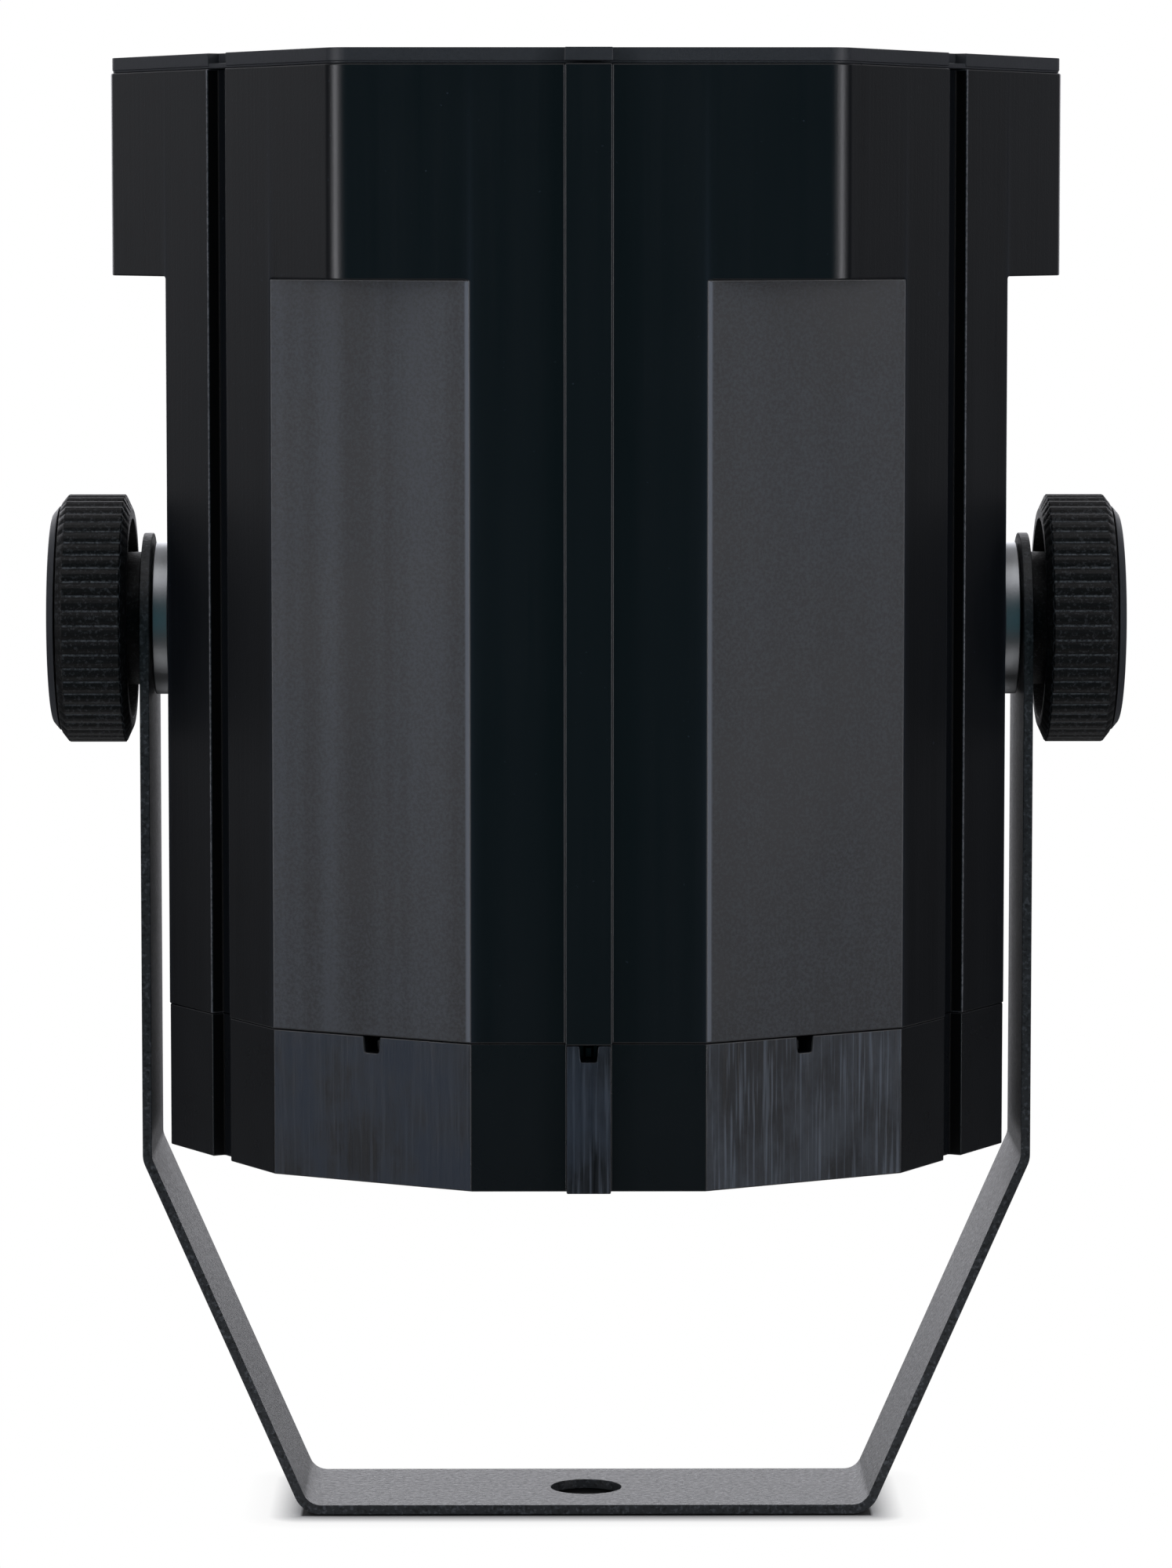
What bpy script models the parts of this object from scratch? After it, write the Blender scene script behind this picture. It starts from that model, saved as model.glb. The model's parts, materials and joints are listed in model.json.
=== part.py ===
"""Compact LED gobo projector in a flat-steel yoke, for Blender 4.5.

Run it with blender --background --python part.py, or from Blender's text editor. Sizes are in
metres. The origin is the middle of the yoke base's underside, +Z is up, +X is to the right and
+Y is to the back. The projector stands on its yoke with the lens end up and the connectors down.
"""

import math

import bmesh
import bpy
from mathutils import Matrix, Vector

# Clearances
FIT = 0.0003
RUNNING_FIT = 0.0002
CUT_MARGIN = 0.001
WELD = 0.000002
FLAT_ANGLE = 0.0005

# Housing plan: six main sides, every second one ribbed or grooved, and six cut corners
BODY_APOTHEM = 0.0662
WALL = 0.0040
RIB_WIDTH = 0.0071
RIB_HEIGHT = 0.0024
GROOVE_WIDTH = 0.0060
GROOVE_DEPTH = 0.0020
HEAD_CORNER_RADIUS = 0.0040
MAIN_SIDE_ANGLES = range(0, 360, 60)

# Heights of the projector along its optical axis
PIVOT_HEIGHT = 0.1433
PIVOT_ABOVE_CAP = 0.0827
CAP_HEIGHT = 0.0226
BODY_HEIGHT = 0.1150
HEAD_HEIGHT = 0.0321
BEZEL_GAP = 0.0004
BEZEL_THICKNESS = 0.0020
CAP_BOTTOM = PIVOT_HEIGHT - PIVOT_ABOVE_CAP
SEAM = CAP_BOTTOM + CAP_HEIGHT
HEAD_UNDERSIDE = SEAM + BODY_HEIGHT
HEAD_TOP = HEAD_UNDERSIDE + HEAD_HEIGHT
BEZEL_UNDERSIDE = HEAD_TOP + BEZEL_GAP
BEZEL_TOP = BEZEL_UNDERSIDE + BEZEL_THICKNESS
CAVITY_APOTHEM = BODY_APOTHEM - WALL

# Yoke strap
STRAP_WIDTH = 0.0290
STRAP_THICKNESS = 0.0015
WASHER_SPACE = 0.0032
BEND_HEIGHT = 0.0574
BASE_HALF_WIDTH = 0.0456
BEND_RADIUS = 0.0045
ARM_ABOVE_PIVOT = 0.0137
CLAMP_HOLE_RADIUS = 0.00575
ARM_INNER = BODY_APOTHEM + WASHER_SPACE
ARM_OUTER = ARM_INNER + STRAP_THICKNESS

# Pivot hardware, measured along the pivot axis
STUD_RADIUS = 0.0039
STUD_GRIP_DEPTH = 0.0090
STUD_INSERT_DEPTH = 0.0110
INSERT_RADIUS = 0.0070
INSERT_FLANGE_RADIUS = 0.0092
INSERT_FLANGE_THICKNESS = 0.0015
PIVOT_BOSS_RADIUS = 0.0120
PIVOT_BOSS_DEPTH = 0.0060
WASHER_RADIUS = 0.0122

# Clamp knobs
KNOB_RADIUS = 0.0199
KNOB_RIB_COUNT = 52
KNOB_RIB_DEPTH = 0.0009
KNOB_NECK = 0.0019
KNOB_GRIP_LENGTH = 0.0112
KNOB_BACK_CHAMFER = 0.0011
KNOB_BACK_RADIUS = 0.0175
KNOB_FRONT_CHAMFER = 0.0011
KNOB_FRONT_RADIUS = 0.0185
KNOB_CAP_THICKNESS = 0.0012
KNOB_CAP_RADIUS = 0.0167
KNOB_HUB_RADIUS = 0.01065
KNOB_CAVITY_RADIUS = 0.0160
KNOB_CAVITY_DEPTH = 0.0070
KNOB_CAP_SPIGOT_RADIUS = 0.0060
KNOB_CAP_SPIGOT_LENGTH = 0.0010

# Rear cap, its snap fastening and the connector panel
CAP_SETBACK = 0.0002
CAP_RIB_WIDTH = 0.0067
SNAP_ANGLES = (0, 30, 150, 180, 210, 330)
SNAP_WINDOW_WIDTH = 0.0030
SNAP_WINDOW_FOOT = 0.0024
SNAP_WINDOW_HEIGHT = 0.0025
SNAP_TONGUE_WIDTH = 0.0080
SNAP_TONGUE_THICKNESS = 0.0015
SNAP_TONGUE_DROP = 0.0070
SNAP_ROOT_HEIGHT = 0.0050
SNAP_CATCH_REACH = 0.0020
PANEL_RECESS = 0.0038
PANEL_THICKNESS = 0.0020
SCREW_POST_WIDTH = 0.0090
SCREW_POST_HEIGHT = 0.0110
PANEL_SCREW_INSET = 0.0077
PANEL_SCREW_CIRCLE = CAVITY_APOTHEM - PANEL_SCREW_INSET
SCREW_POST_INNER = PANEL_SCREW_CIRCLE - SCREW_POST_WIDTH / 2
PANEL_OUTER_FACE = CAP_BOTTOM + PANEL_RECESS
PANEL_INNER_FACE = PANEL_OUTER_FACE + PANEL_THICKNESS
POST_ANGLES = (45, 135, 225, 315)
BEZEL_SCREW_ANGLES = (90, 210, 330)
SHELF_ANGLES = (60, 180, 300)

# Small screws
SCREW_SHANK_RADIUS = 0.0014
SCREW_HEAD_RADIUS = 0.0027
SCREW_HEAD_HEIGHT = 0.0012
SCREW_LENGTH = 0.0070
BEZEL_SCREW_OUTSET = 0.0021
BEZEL_SCREW_CIRCLE = BODY_APOTHEM + BEZEL_SCREW_OUTSET

# Connectors on the rear panel
FLANGE_THICKNESS = 0.0012
CONNECTOR_DEPTH = 0.0178
DMX_X = 0.0320
DMX_Y = 0.0020
DMX_BODY_RADIUS = 0.0119
DMX_BORE_RADIUS = 0.0095
DMX_CUP_DEPTH = 0.0150
DMX_FACE_DEPTH = 0.0030
DMX_FLANGE_WIDTH = 0.0250
DMX_FLANGE_HEIGHT = 0.0300
DMX_PIN_CIRCLE = 0.0042
DMX_PIN_RADIUS = 0.0012
DMX_PIN_SETBACK = 0.0025
DMX_PIN_ANGLES = (90, 210, 330)
INLET_Y = -0.0330
INLET_WIDTH = 0.0280
INLET_HEIGHT = 0.0370
INLET_FLANGE_EDGE = 0.0020
SOCKET_WIDTH = 0.0240
SOCKET_HEIGHT = 0.0165
SOCKET_DEPTH = 0.0160
SOCKET_OFFSET = 0.0065
SOCKET_CORNER = 0.0045
BLADE_WIDTH = 0.0020
BLADE_HEIGHT = 0.0040
BLADE_SPACING = 0.0070
BLADE_OFFSET = 0.0020
EARTH_OFFSET = 0.0030
BLADE_SETBACK = 0.0020
DRAWER_OFFSET = 0.0115
DRAWER_WIDTH = 0.0236
DRAWER_HEIGHT = 0.0090
DRAWER_LENGTH = 0.0130
DRAWER_WALL = 0.0012
DRAWER_LIP = 0.0010
FUSE_RADIUS = 0.0026
FUSE_LENGTH = 0.0200
FUSE_CAP_LENGTH = 0.0050

# Display, buttons and the boards behind the panel
DISPLAY_INSET = 0.0192
DISPLAY_WIDTH = 0.0360
DISPLAY_HEIGHT = 0.0150
WINDOW_RECESS = 0.0004
DISPLAY_GLASS_THICKNESS = 0.0013
DISPLAY_BLOCK_DEPTH = 0.0026
DISPLAY_BOARD_WIDTH = 0.0440
DISPLAY_BOARD_BELOW = 0.0235
DISPLAY_BOARD_ABOVE = 0.0090
BOARD_THICKNESS = 0.0016
BUTTON_BELOW_DISPLAY = 0.0170
BUTTON_PITCH = 0.0110
BUTTON_COUNT = 4
BUTTON_RADIUS = 0.0030
BUTTON_FLANGE_RADIUS = 0.0038
BUTTON_FLANGE_THICKNESS = 0.0008
BUTTON_PROUD = 0.0010
BUTTON_TRAVEL = 0.0010
SWITCH_SIZE = 0.0050
VENT_COUNT = 5
VENT_WIDTH = 0.0024
VENT_LENGTH = 0.0240
VENT_PITCH = 0.0052
VENT_CENTRE_Y = 0.0040
STANDOFF_X = 0.0300
STANDOFF_Y = 0.0250
STANDOFF_RADIUS = 0.0026
STANDOFF_SIDES = 6
DRIVER_BOARD_INSET = 0.0047
DRIVER_BOARD_RADIUS = CAVITY_APOTHEM - DRIVER_BOARD_INSET
DRIVER_BOARD_HOLE = 0.0270
DRIVER_BOARD_UNDERSIDE = PANEL_INNER_FACE + CONNECTOR_DEPTH + FIT
DRIVER_BOARD_TOP = DRIVER_BOARD_UNDERSIDE + BOARD_THICKNESS
DISPLAY_Y = CAVITY_APOTHEM - DISPLAY_INSET
BUTTON_Y = DISPLAY_Y - BUTTON_BELOW_DISPLAY
DISPLAY_BOARD_LOW_Y = DISPLAY_Y - DISPLAY_BOARD_BELOW
DISPLAY_BOARD_HIGH_Y = DISPLAY_Y + DISPLAY_BOARD_ABOVE

# Larger components of the driver board: name, middle of the plan, width, depth and height
BOARD_BLOCKS = (
    ("transformer", (-0.0420, -0.0080), 0.0160, 0.0200, 0.0110),
    ("inductor", (0.0410, 0.0140), 0.0120, 0.0120, 0.0080),
    ("driver_chip", (0.0, 0.0440), 0.0200, 0.0120, 0.0030),
    ("terminal", (0.0, -0.0420), 0.0220, 0.0100, 0.0090),
)
CAPACITOR_PLACES = ((0.0420, -0.0120), (0.0350, -0.0350))
CAPACITOR_RADIUS = 0.0050
CAPACITOR_HEIGHT = 0.0110

# Fan and heat sink
FAN_SIDE = 0.0600
FAN_DEPTH = 0.0100
FAN_OPENING_RADIUS = 0.0283
FAN_HUB_RADIUS = 0.0120
FAN_SPOKE_WIDTH = 0.0030
FAN_SPOKE_DEPTH = 0.0012
FAN_SPOKE_ANGLES = (0, 120, 240)
FAN_BLADE_COUNT = 7
FAN_BLADE_PITCH_DEG = 35
FAN_BLADE_CHORD = 0.0085
FAN_BLADE_ROOT = 0.0084
FAN_BLADE_THICKNESS = 0.0012
FAN_TIP_GAP = 0.0012
FAN_LIFT = 0.0020
SINK_FIN_COUNT = 11
SINK_FIN_EDGE = 0.0060
SINK_FIN_THICKNESS = 0.0016
SINK_FIN_HEIGHT = 0.0140
SINK_INSET = 0.0037
SINK_RADIUS = CAVITY_APOTHEM - SINK_INSET
SINK_BASE_THICKNESS = 0.0040
SHELF_DEPTH = 0.0142
SHELF_INNER = CAVITY_APOTHEM - SHELF_DEPTH
SHELF_WIDTH = 0.0120
SHELF_HEIGHT = 0.0090
CHASSIS_SCREW_INSET = 0.0050
CHASSIS_SCREW_CIRCLE = SHELF_INNER + CHASSIS_SCREW_INSET
SINK_FIN_CLEARANCE = 0.0070
SINK_FIN_CIRCLE = CHASSIS_SCREW_CIRCLE - SINK_FIN_CLEARANCE
SINK_FIN_PITCH = 2 * (SINK_FIN_CIRCLE - SINK_FIN_EDGE) / (SINK_FIN_COUNT - 1)
WIRE_NOTCH_WIDTH = 0.0064
WIRE_NOTCH_DEPTH = 0.0070
FAN_BOTTOM = DRIVER_BOARD_TOP + FAN_LIFT
FAN_TOP = FAN_BOTTOM + FAN_DEPTH
SINK_FIN_BOTTOM = FAN_TOP + FIT
SINK_BASE_BOTTOM = SINK_FIN_BOTTOM + SINK_FIN_HEIGHT
SINK_TOP = SINK_BASE_BOTTOM + SINK_BASE_THICKNESS
SHELF_BOTTOM = SINK_TOP + FIT

# Light source and condenser
LED_BOARD_RADIUS = 0.0200
EMITTER_SIDE = 0.0150
EMITTER_THICKNESS = 0.0012
CONDENSER_OUTER_RADIUS = 0.0270
CONDENSER_LENS_RADIUS = 0.0197
CONDENSER_LEDGE_RADIUS = 0.0175
CONDENSER_LEDGE_THICKNESS = 0.0012
CONDENSER_LEDGE_LIFT = 0.0047
CONDENSER_RIM = 0.0020
CONDENSER_CROWN = 0.0060
CONDENSER_GAP = 0.0117
CONDENSER_EDGE = 0.0012
LED_BOARD_BOTTOM = SINK_TOP + FIT
LED_BOARD_TOP = LED_BOARD_BOTTOM + BOARD_THICKNESS
CONDENSER_BOTTOM = SINK_TOP + FIT
LOWER_LENS_BOTTOM = CONDENSER_BOTTOM + CONDENSER_LEDGE_LIFT + CONDENSER_LEDGE_THICKNESS + FIT
UPPER_LENS_BOTTOM = LOWER_LENS_BOTTOM + CONDENSER_RIM + CONDENSER_GAP
CONDENSER_TOP = UPPER_LENS_BOTTOM + CONDENSER_RIM + FIT

# Gobo gate and the drawer-like gobo holder that slides out through the back
GATE_PLATE = 0.0023
GATE_HALF_WIDTH = 0.0210
GATE_FRONT = 0.0210
GATE_APERTURE_RADIUS = 0.0120
HOLDER_THICKNESS = 0.0026
HOLDER_HALF_WIDTH = 0.0152
HOLDER_FRONT = 0.0154
HOLDER_TAB_THICKNESS = 0.0021
GOBO_RADIUS = 0.01295
GOBO_THICKNESS = 0.0008
GOBO_IMAGE_RADIUS = 0.0116
GOBO_LEDGE = 0.0008
GOBO_DOT_COUNT = 6
GOBO_DOT_RADIUS = 0.0018
GOBO_DOT_CIRCLE = 0.0065
GOBO_CENTRE_RADIUS = 0.0022
CLIP_WIDTH = 0.0010
CLIP_THICKNESS = 0.0005
CLIP_GAP = 0.0060
GATE_BOTTOM = CONDENSER_TOP + FIT
GATE_SLOT_BOTTOM = GATE_BOTTOM + GATE_PLATE
HOLDER_BOTTOM = GATE_SLOT_BOTTOM + FIT
HOLDER_TOP = HOLDER_BOTTOM + HOLDER_THICKNESS
GATE_SLOT_TOP = HOLDER_TOP + FIT
GATE_TOP = GATE_SLOT_TOP + GATE_PLATE

# Objective: the mount tube, the threaded focus ring and the sliding lens tube
LENS_TUBE_RADIUS = 0.0300
MOUNT_WALL = 0.0037
MOUNT_FLANGE_WIDTH = 0.0060
MOUNT_FLANGE_THICKNESS = 0.0025
MOUNT_OUTER_RADIUS = LENS_TUBE_RADIUS + FIT + MOUNT_WALL
MOUNT_FLANGE_RADIUS = MOUNT_OUTER_RADIUS + MOUNT_FLANGE_WIDTH
LENS_TUBE_WALL = 0.0030
LENS_SHOULDER = 0.0035
LENS_NECK_WALL = 0.0025
LENS_LEDGE = 0.0018
LENS_NECK_RADIUS = LENS_TUBE_RADIUS - LENS_SHOULDER
LENS_NECK_BORE = LENS_NECK_RADIUS - LENS_NECK_WALL
LENS_LEDGE_RADIUS = LENS_NECK_BORE - LENS_LEDGE
LENS_TUBE_LIFT = 0.0100
LENS_TUBE_LENGTH = 0.0320
LENS_NECK_LENGTH = 0.0270
REAR_LENS_RIM = 0.0037
REAR_LENS_CROWN = 0.0040
REAR_LENS_EDGE = 0.0060
FRONT_LENS_RIM = 0.0027
FRONT_LENS_CROWN = 0.0045
FRONT_LENS_EDGE = 0.0030
FRONT_LENS_BELOW_TOP = 0.0110
RETAINER_WIDTH = 0.0022
RETAINER_HEIGHT = 0.0022
FOCUS_TRAVEL = 0.0120
RING_COLLAR_STEP = 0.0018
RING_FLANGE_STEP = 0.0020
RING_FLANGE_THICKNESS = 0.0042
RING_COLLAR_RADIUS = LENS_TUBE_RADIUS + RING_COLLAR_STEP
RING_FLANGE_RADIUS = RING_COLLAR_RADIUS + RING_FLANGE_STEP
RING_BELOW_BEZEL_TOP = 0.0003
RING_NOTCH_COUNT = 12
RING_NOTCH_RADIUS = 0.0014
RING_NOTCH_DEPTH = 0.0030
MOUNT_BOTTOM = GATE_TOP + FIT
LENS_TUBE_BOTTOM = MOUNT_BOTTOM + LENS_TUBE_LIFT
LENS_NECK_BOTTOM = LENS_TUBE_BOTTOM + LENS_TUBE_LENGTH
LENS_NECK_TOP = LENS_NECK_BOTTOM + LENS_NECK_LENGTH
RING_FLANGE_TOP = BEZEL_UNDERSIDE - FIT
RING_FLANGE_BOTTOM = RING_FLANGE_TOP - RING_FLANGE_THICKNESS
RING_SKIRT_BOTTOM = LENS_NECK_BOTTOM + FOCUS_TRAVEL + 2 * FIT
MOUNT_TOP = RING_FLANGE_BOTTOM - FIT
RING_BORE_RADIUS = LENS_NECK_RADIUS + FIT

# Internal leads
LED_LEAD_RADIUS = 0.0016
LED_LEAD_RISE = 0.0080
LED_LEAD_BELOW_SINK = 0.0040
LED_LEAD_BELOW_NOTCH_TOP = 0.0005
LED_LEAD_BEND = 0.0080
LED_LEAD_BEND_LIFT = 0.0020
LED_LEAD_HOLDER_SPACE = 0.0060
LED_LEAD_SAG = 0.0006
FAN_LEAD_RADIUS = 0.0010
FAN_LEAD_Y = -0.0020
FAN_LEAD_REACH = 0.0040
FAN_LEAD_BEND = 0.0070
FAN_LEAD_BEND_HEIGHT = 0.0030
FAN_LEAD_END = 0.0075
LEAD_SAMPLES = 16

# Facets of round pieces
ARM_END_STEPS = 48
FINE_STEPS = 32
PLAIN_STEPS = 20
BUTTON_STEPS = 12
SMALL_STEPS = 8

PARTS = bpy.data.collections.new("gobo_projector")


def clear_scene():
    """Removes what the file opens with and adds the projector's collection."""
    for obj in list(bpy.data.objects):
        bpy.data.objects.remove(obj, do_unlink=True)
    bpy.context.scene.collection.children.link(PARTS)


def linear(hex_colour):
    """A colour written as six hexadecimal digits, as linear RGBA."""
    channels = [int(hex_colour[i : i + 2], 16) / 255 for i in (0, 2, 4)]
    bright = [c / 12.92 if c <= 0.04045 else ((c + 0.055) / 1.055) ** 2.4 for c in channels]
    return (*bright, 1.0)


def principled(name, hex_colour, roughness, metallic=0.0, transmission=0.0):
    """Returns the named material, and makes it the first time."""
    found = bpy.data.materials.get(name)
    if found:
        return found
    material = bpy.data.materials.new(name)
    material.use_nodes = True
    shader = material.node_tree.nodes["Principled BSDF"]
    shader.inputs["Base Color"].default_value = linear(hex_colour)
    shader.inputs["Roughness"].default_value = roughness
    shader.inputs["Metallic"].default_value = metallic
    shader.inputs["Transmission Weight"].default_value = transmission
    material.diffuse_color = linear(hex_colour)
    return material


def housing_plastic():
    return principled("housing_plastic", "1d1e21", 0.45)


def cap_plastic():
    return principled("cap_plastic", "24262a", 0.55)


def knob_plastic():
    return principled("knob_plastic", "16171a", 0.6)


def dark_plastic():
    return principled("dark_plastic", "101113", 0.5)


def powder_coat():
    return principled("powder_coat", "3a3b3d", 0.55)


def panel_paint():
    return principled("panel_paint", "1a1b1d", 0.5)


def bare_steel():
    return principled("bare_steel", "9a9c9e", 0.35, 1.0)


def black_screw():
    return principled("black_screw", "1b1b1d", 0.4, 1.0)


def brass():
    return principled("brass", "b08d4a", 0.35, 1.0)


def aluminium():
    return principled("aluminium", "b4b7ba", 0.4, 1.0)


def black_aluminium():
    return principled("black_aluminium", "191a1c", 0.45, 0.8)


def clear_glass():
    return principled("clear_glass", "eef4f6", 0.03, 0.0, 1.0)


def circuit_board():
    return principled("circuit_board", "1c5a34", 0.5)


def yellow_phosphor():
    return principled("yellow_phosphor", "e8c94c", 0.6)


def lead_jacket():
    return principled("lead_jacket", "a3201c", 0.5)


def button_rubber():
    return principled("button_rubber", "2a2b2e", 0.7)


def finish(obj, material, smooth_angle=None):
    """Gives the object its material, and smooth shading if it is round."""
    obj.data.materials.clear()
    obj.data.materials.append(material)
    if smooth_angle is not None:
        obj.data.shade_smooth()
        obj.data.set_sharp_from_angle(angle=math.radians(smooth_angle))
    return obj


def new_object(name, mesh):
    obj = bpy.data.objects.new(name, mesh)
    PARTS.objects.link(obj)
    return obj


def from_bmesh(name, bm):
    """An object from a bmesh, with its faces pointing out."""
    bmesh.ops.recalc_face_normals(bm, faces=bm.faces[:])
    mesh = bpy.data.meshes.new(name)
    bm.to_mesh(mesh)
    bm.free()
    return new_object(name, mesh)


def bake(obj):
    """Replaces the object's mesh by what its modifiers make of it."""
    depsgraph = bpy.context.evaluated_depsgraph_get()
    mesh = bpy.data.meshes.new_from_object(obj.evaluated_get(depsgraph))
    obj.modifiers.clear()
    old = obj.data
    obj.data = mesh
    bpy.data.meshes.remove(old)
    mesh.name = obj.name
    return obj


def combine(target, others, operation):
    """Applies exact Booleans with the other objects, one after another, and removes them."""
    for other in others:
        modifier = target.modifiers.new(operation.title(), "BOOLEAN")
        modifier.operation = operation
        modifier.solver = "EXACT"
        modifier.object = other
        bake(target)
        merge_flat(target)
        bpy.data.objects.remove(other, do_unlink=True)
    return target


def merge_flat(obj):
    """Welds points that coincide and merges faces that lie in one plane."""
    bm = bmesh.new()
    bm.from_mesh(obj.data)
    bmesh.ops.remove_doubles(bm, verts=bm.verts, dist=WELD)
    bmesh.ops.dissolve_degenerate(bm, edges=bm.edges, dist=WELD)
    bmesh.ops.dissolve_limit(bm, angle_limit=FLAT_ANGLE, verts=[], edges=bm.edges)
    bm.to_mesh(obj.data)
    bm.free()


def cut(target, *cutters):
    return combine(target, cutters, "DIFFERENCE")


def join(target, *others):
    return combine(target, others, "UNION")


def box(name, low, high):
    """A box between two opposite corners."""
    low, high = Vector(low), Vector(high)
    bm = bmesh.new()
    bmesh.ops.create_cube(bm, size=1.0)
    place = Matrix.Translation((low + high) / 2) @ Matrix.Diagonal((*(high - low), 1.0))
    bmesh.ops.transform(bm, matrix=place, verts=bm.verts)
    return from_bmesh(name, bm)


def cylinder(name, radius, low, high, at=(0.0, 0.0), steps=PLAIN_STEPS):
    """An upright cylinder between two heights."""
    bm = bmesh.new()
    bmesh.ops.create_cone(
        bm, cap_ends=True, segments=steps, radius1=radius, radius2=radius, depth=high - low
    )
    place = Matrix.Translation((at[0], at[1], (low + high) / 2))
    bmesh.ops.transform(bm, matrix=place, verts=bm.verts)
    return from_bmesh(name, bm)


def across_cylinder(name, radius, inner, outer, side):
    """A cylinder on the pivot axis, between two distances from the middle, on side +1 or -1."""
    obj = cylinder(name, radius, inner, outer)
    along_pivot(obj, side)
    return obj


def along_pivot(obj, side):
    """Turns an object made along +Z so that it points outwards along the pivot axis."""
    obj.rotation_euler = (0.0, side * math.pi / 2, 0.0)
    obj.location = (0.0, 0.0, PIVOT_HEIGHT)
    bpy.context.view_layer.update()
    return obj


def turned(name, profile, steps=PLAIN_STEPS):
    """A turned solid from (radius, height) points that run down its outer side."""
    mesh = bpy.data.meshes.new(name)
    points = [(radius, 0.0, height) for radius, height in profile]
    count = len(points)
    touches_axis = profile[0][0] == 0.0
    edges = [(i, (i + 1) % count) for i in range(count - 1 if touches_axis else count)]
    mesh.from_pydata(points, edges, [])
    obj = new_object(name, mesh)
    screw = obj.modifiers.new("Turn", "SCREW")
    screw.steps = steps
    screw.render_steps = steps
    screw.use_merge_vertices = True
    screw.merge_threshold = 0.00001
    bake(obj)
    bm = bmesh.new()
    bm.from_mesh(obj.data)
    bmesh.ops.recalc_face_normals(bm, faces=bm.faces[:])
    bm.to_mesh(obj.data)
    bm.free()
    return obj


def solid_from_curve(name, curve, height=0.0, cap_levels=()):
    """Turns a curve into a welded mesh object, each flat cap one face, and removes the curve."""
    guide = bpy.data.objects.new(name + "_curve", curve)
    PARTS.objects.link(guide)
    guide.location.z = height
    bpy.context.view_layer.update()
    depsgraph = bpy.context.evaluated_depsgraph_get()
    mesh = bpy.data.meshes.new_from_object(guide.evaluated_get(depsgraph))
    bm = bmesh.new()
    bm.from_mesh(mesh)
    bmesh.ops.remove_doubles(bm, verts=bm.verts, dist=WELD)
    bmesh.ops.transform(bm, matrix=guide.matrix_world, verts=bm.verts)
    for level in cap_levels:
        cap = [f for f in bm.faces if all(abs(v.co.z - level) < WELD for v in f.verts)]
        bmesh.ops.dissolve_faces(bm, faces=cap)
    bpy.data.objects.remove(guide, do_unlink=True)
    bpy.data.meshes.remove(mesh)
    return from_bmesh(name, bm)


def prism(name, outline, low, high):
    """A flat outline in X and Y, filled and raised between two heights."""
    curve = bpy.data.curves.new(name, "CURVE")
    curve.dimensions = "2D"
    curve.fill_mode = "BOTH"
    curve.extrude = (high - low) / 2
    spline = curve.splines.new("POLY")
    spline.points.add(len(outline) - 1)
    for point, (x, y) in zip(spline.points, outline):
        point.co = (x, y, 0.0, 1.0)
    spline.use_cyclic_u = True
    return solid_from_curve(name, curve, (low + high) / 2, (low, high))


def lead(name, route, radius):
    """A thin insulated lead along a smooth curve through the route's points."""
    curve = bpy.data.curves.new(name, "CURVE")
    curve.dimensions = "3D"
    curve.bevel_depth = radius
    curve.bevel_resolution = 1
    curve.use_fill_caps = True
    points = smooth_route(route, LEAD_SAMPLES)
    spline = curve.splines.new("POLY")
    spline.points.add(len(points) - 1)
    for point, place in zip(spline.points, points):
        point.co = (*place, 1.0)
    return solid_from_curve(name, curve)


def smooth_route(route, samples):
    """Points along a Catmull-Rom curve through the route's points, its ends continued straight."""
    route = [Vector(point) for point in route]
    ends = [2 * route[0] - route[1], *route, 2 * route[-1] - route[-2]]
    spans = len(route) - 1
    points = []
    for i in range(samples + 1):
        place = spans * i / samples
        span = min(int(place), spans - 1)
        t = place - span
        a, b, c, d = ends[span : span + 4]
        points.append(
            0.5 * (2 * b + (c - a) * t + (2 * a - 5 * b + 4 * c - d) * t**2
                   + (3 * b - 3 * c + d - a) * t**3)
        )
    return points


def facing(angle):
    """The directions out of and along a side that faces this many degrees from the front."""
    turn = math.radians(angle)
    outward = Vector((math.sin(turn), -math.cos(turn)))
    along = Vector((math.cos(turn), math.sin(turn)))
    return outward, along


def polar(angle, radius):
    outward, _ = facing(angle)
    return (outward * radius)[:]


def side_points(angle, apothem, half_width, rib_width):
    """One main side of the plan, with its rib at front and back or its groove elsewhere."""
    outward, along = facing(angle)
    ribbed = angle % 180 == 0
    step = RIB_HEIGHT if ribbed else -GROOVE_DEPTH
    half = (rib_width if ribbed else GROOVE_WIDTH) / 2
    face = outward * apothem
    stepped = outward * (apothem + step)
    return [
        face - along * half_width,
        face - along * half,
        stepped - along * half,
        stepped + along * half,
        face + along * half,
        face + along * half_width,
    ]


def body_outline(apothem, rib_width):
    """Twelve-sided plan of the body and the rear cap."""
    half_width = apothem * math.tan(math.radians(15))
    points = []
    for angle in MAIN_SIDE_ANGLES:
        points += side_points(angle, apothem, half_width, rib_width)
    return [point[:] for point in points]


def head_outline(apothem, corner_steps=4):
    """Six-sided plan of the lens head, with rounded corners."""
    inner = apothem - HEAD_CORNER_RADIUS
    half_width = inner * math.tan(math.radians(30))
    points = []
    for angle in MAIN_SIDE_ANGLES:
        points += side_points(angle, apothem, half_width, RIB_WIDTH)
        middle = facing(angle + 30)[0] * inner / math.cos(math.radians(30))
        for i in range(1, corner_steps):
            turn = facing(angle + 60 * i / corner_steps)[0]
            points.append(middle + turn * HEAD_CORNER_RADIUS)
    return [point[:] for point in points]


def regular_outline(sides, apothem):
    """A regular outline with one side facing the front."""
    radius = apothem / math.cos(math.pi / sides)
    return [polar((i + 0.5) * 360 / sides, radius) for i in range(sides)]


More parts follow.
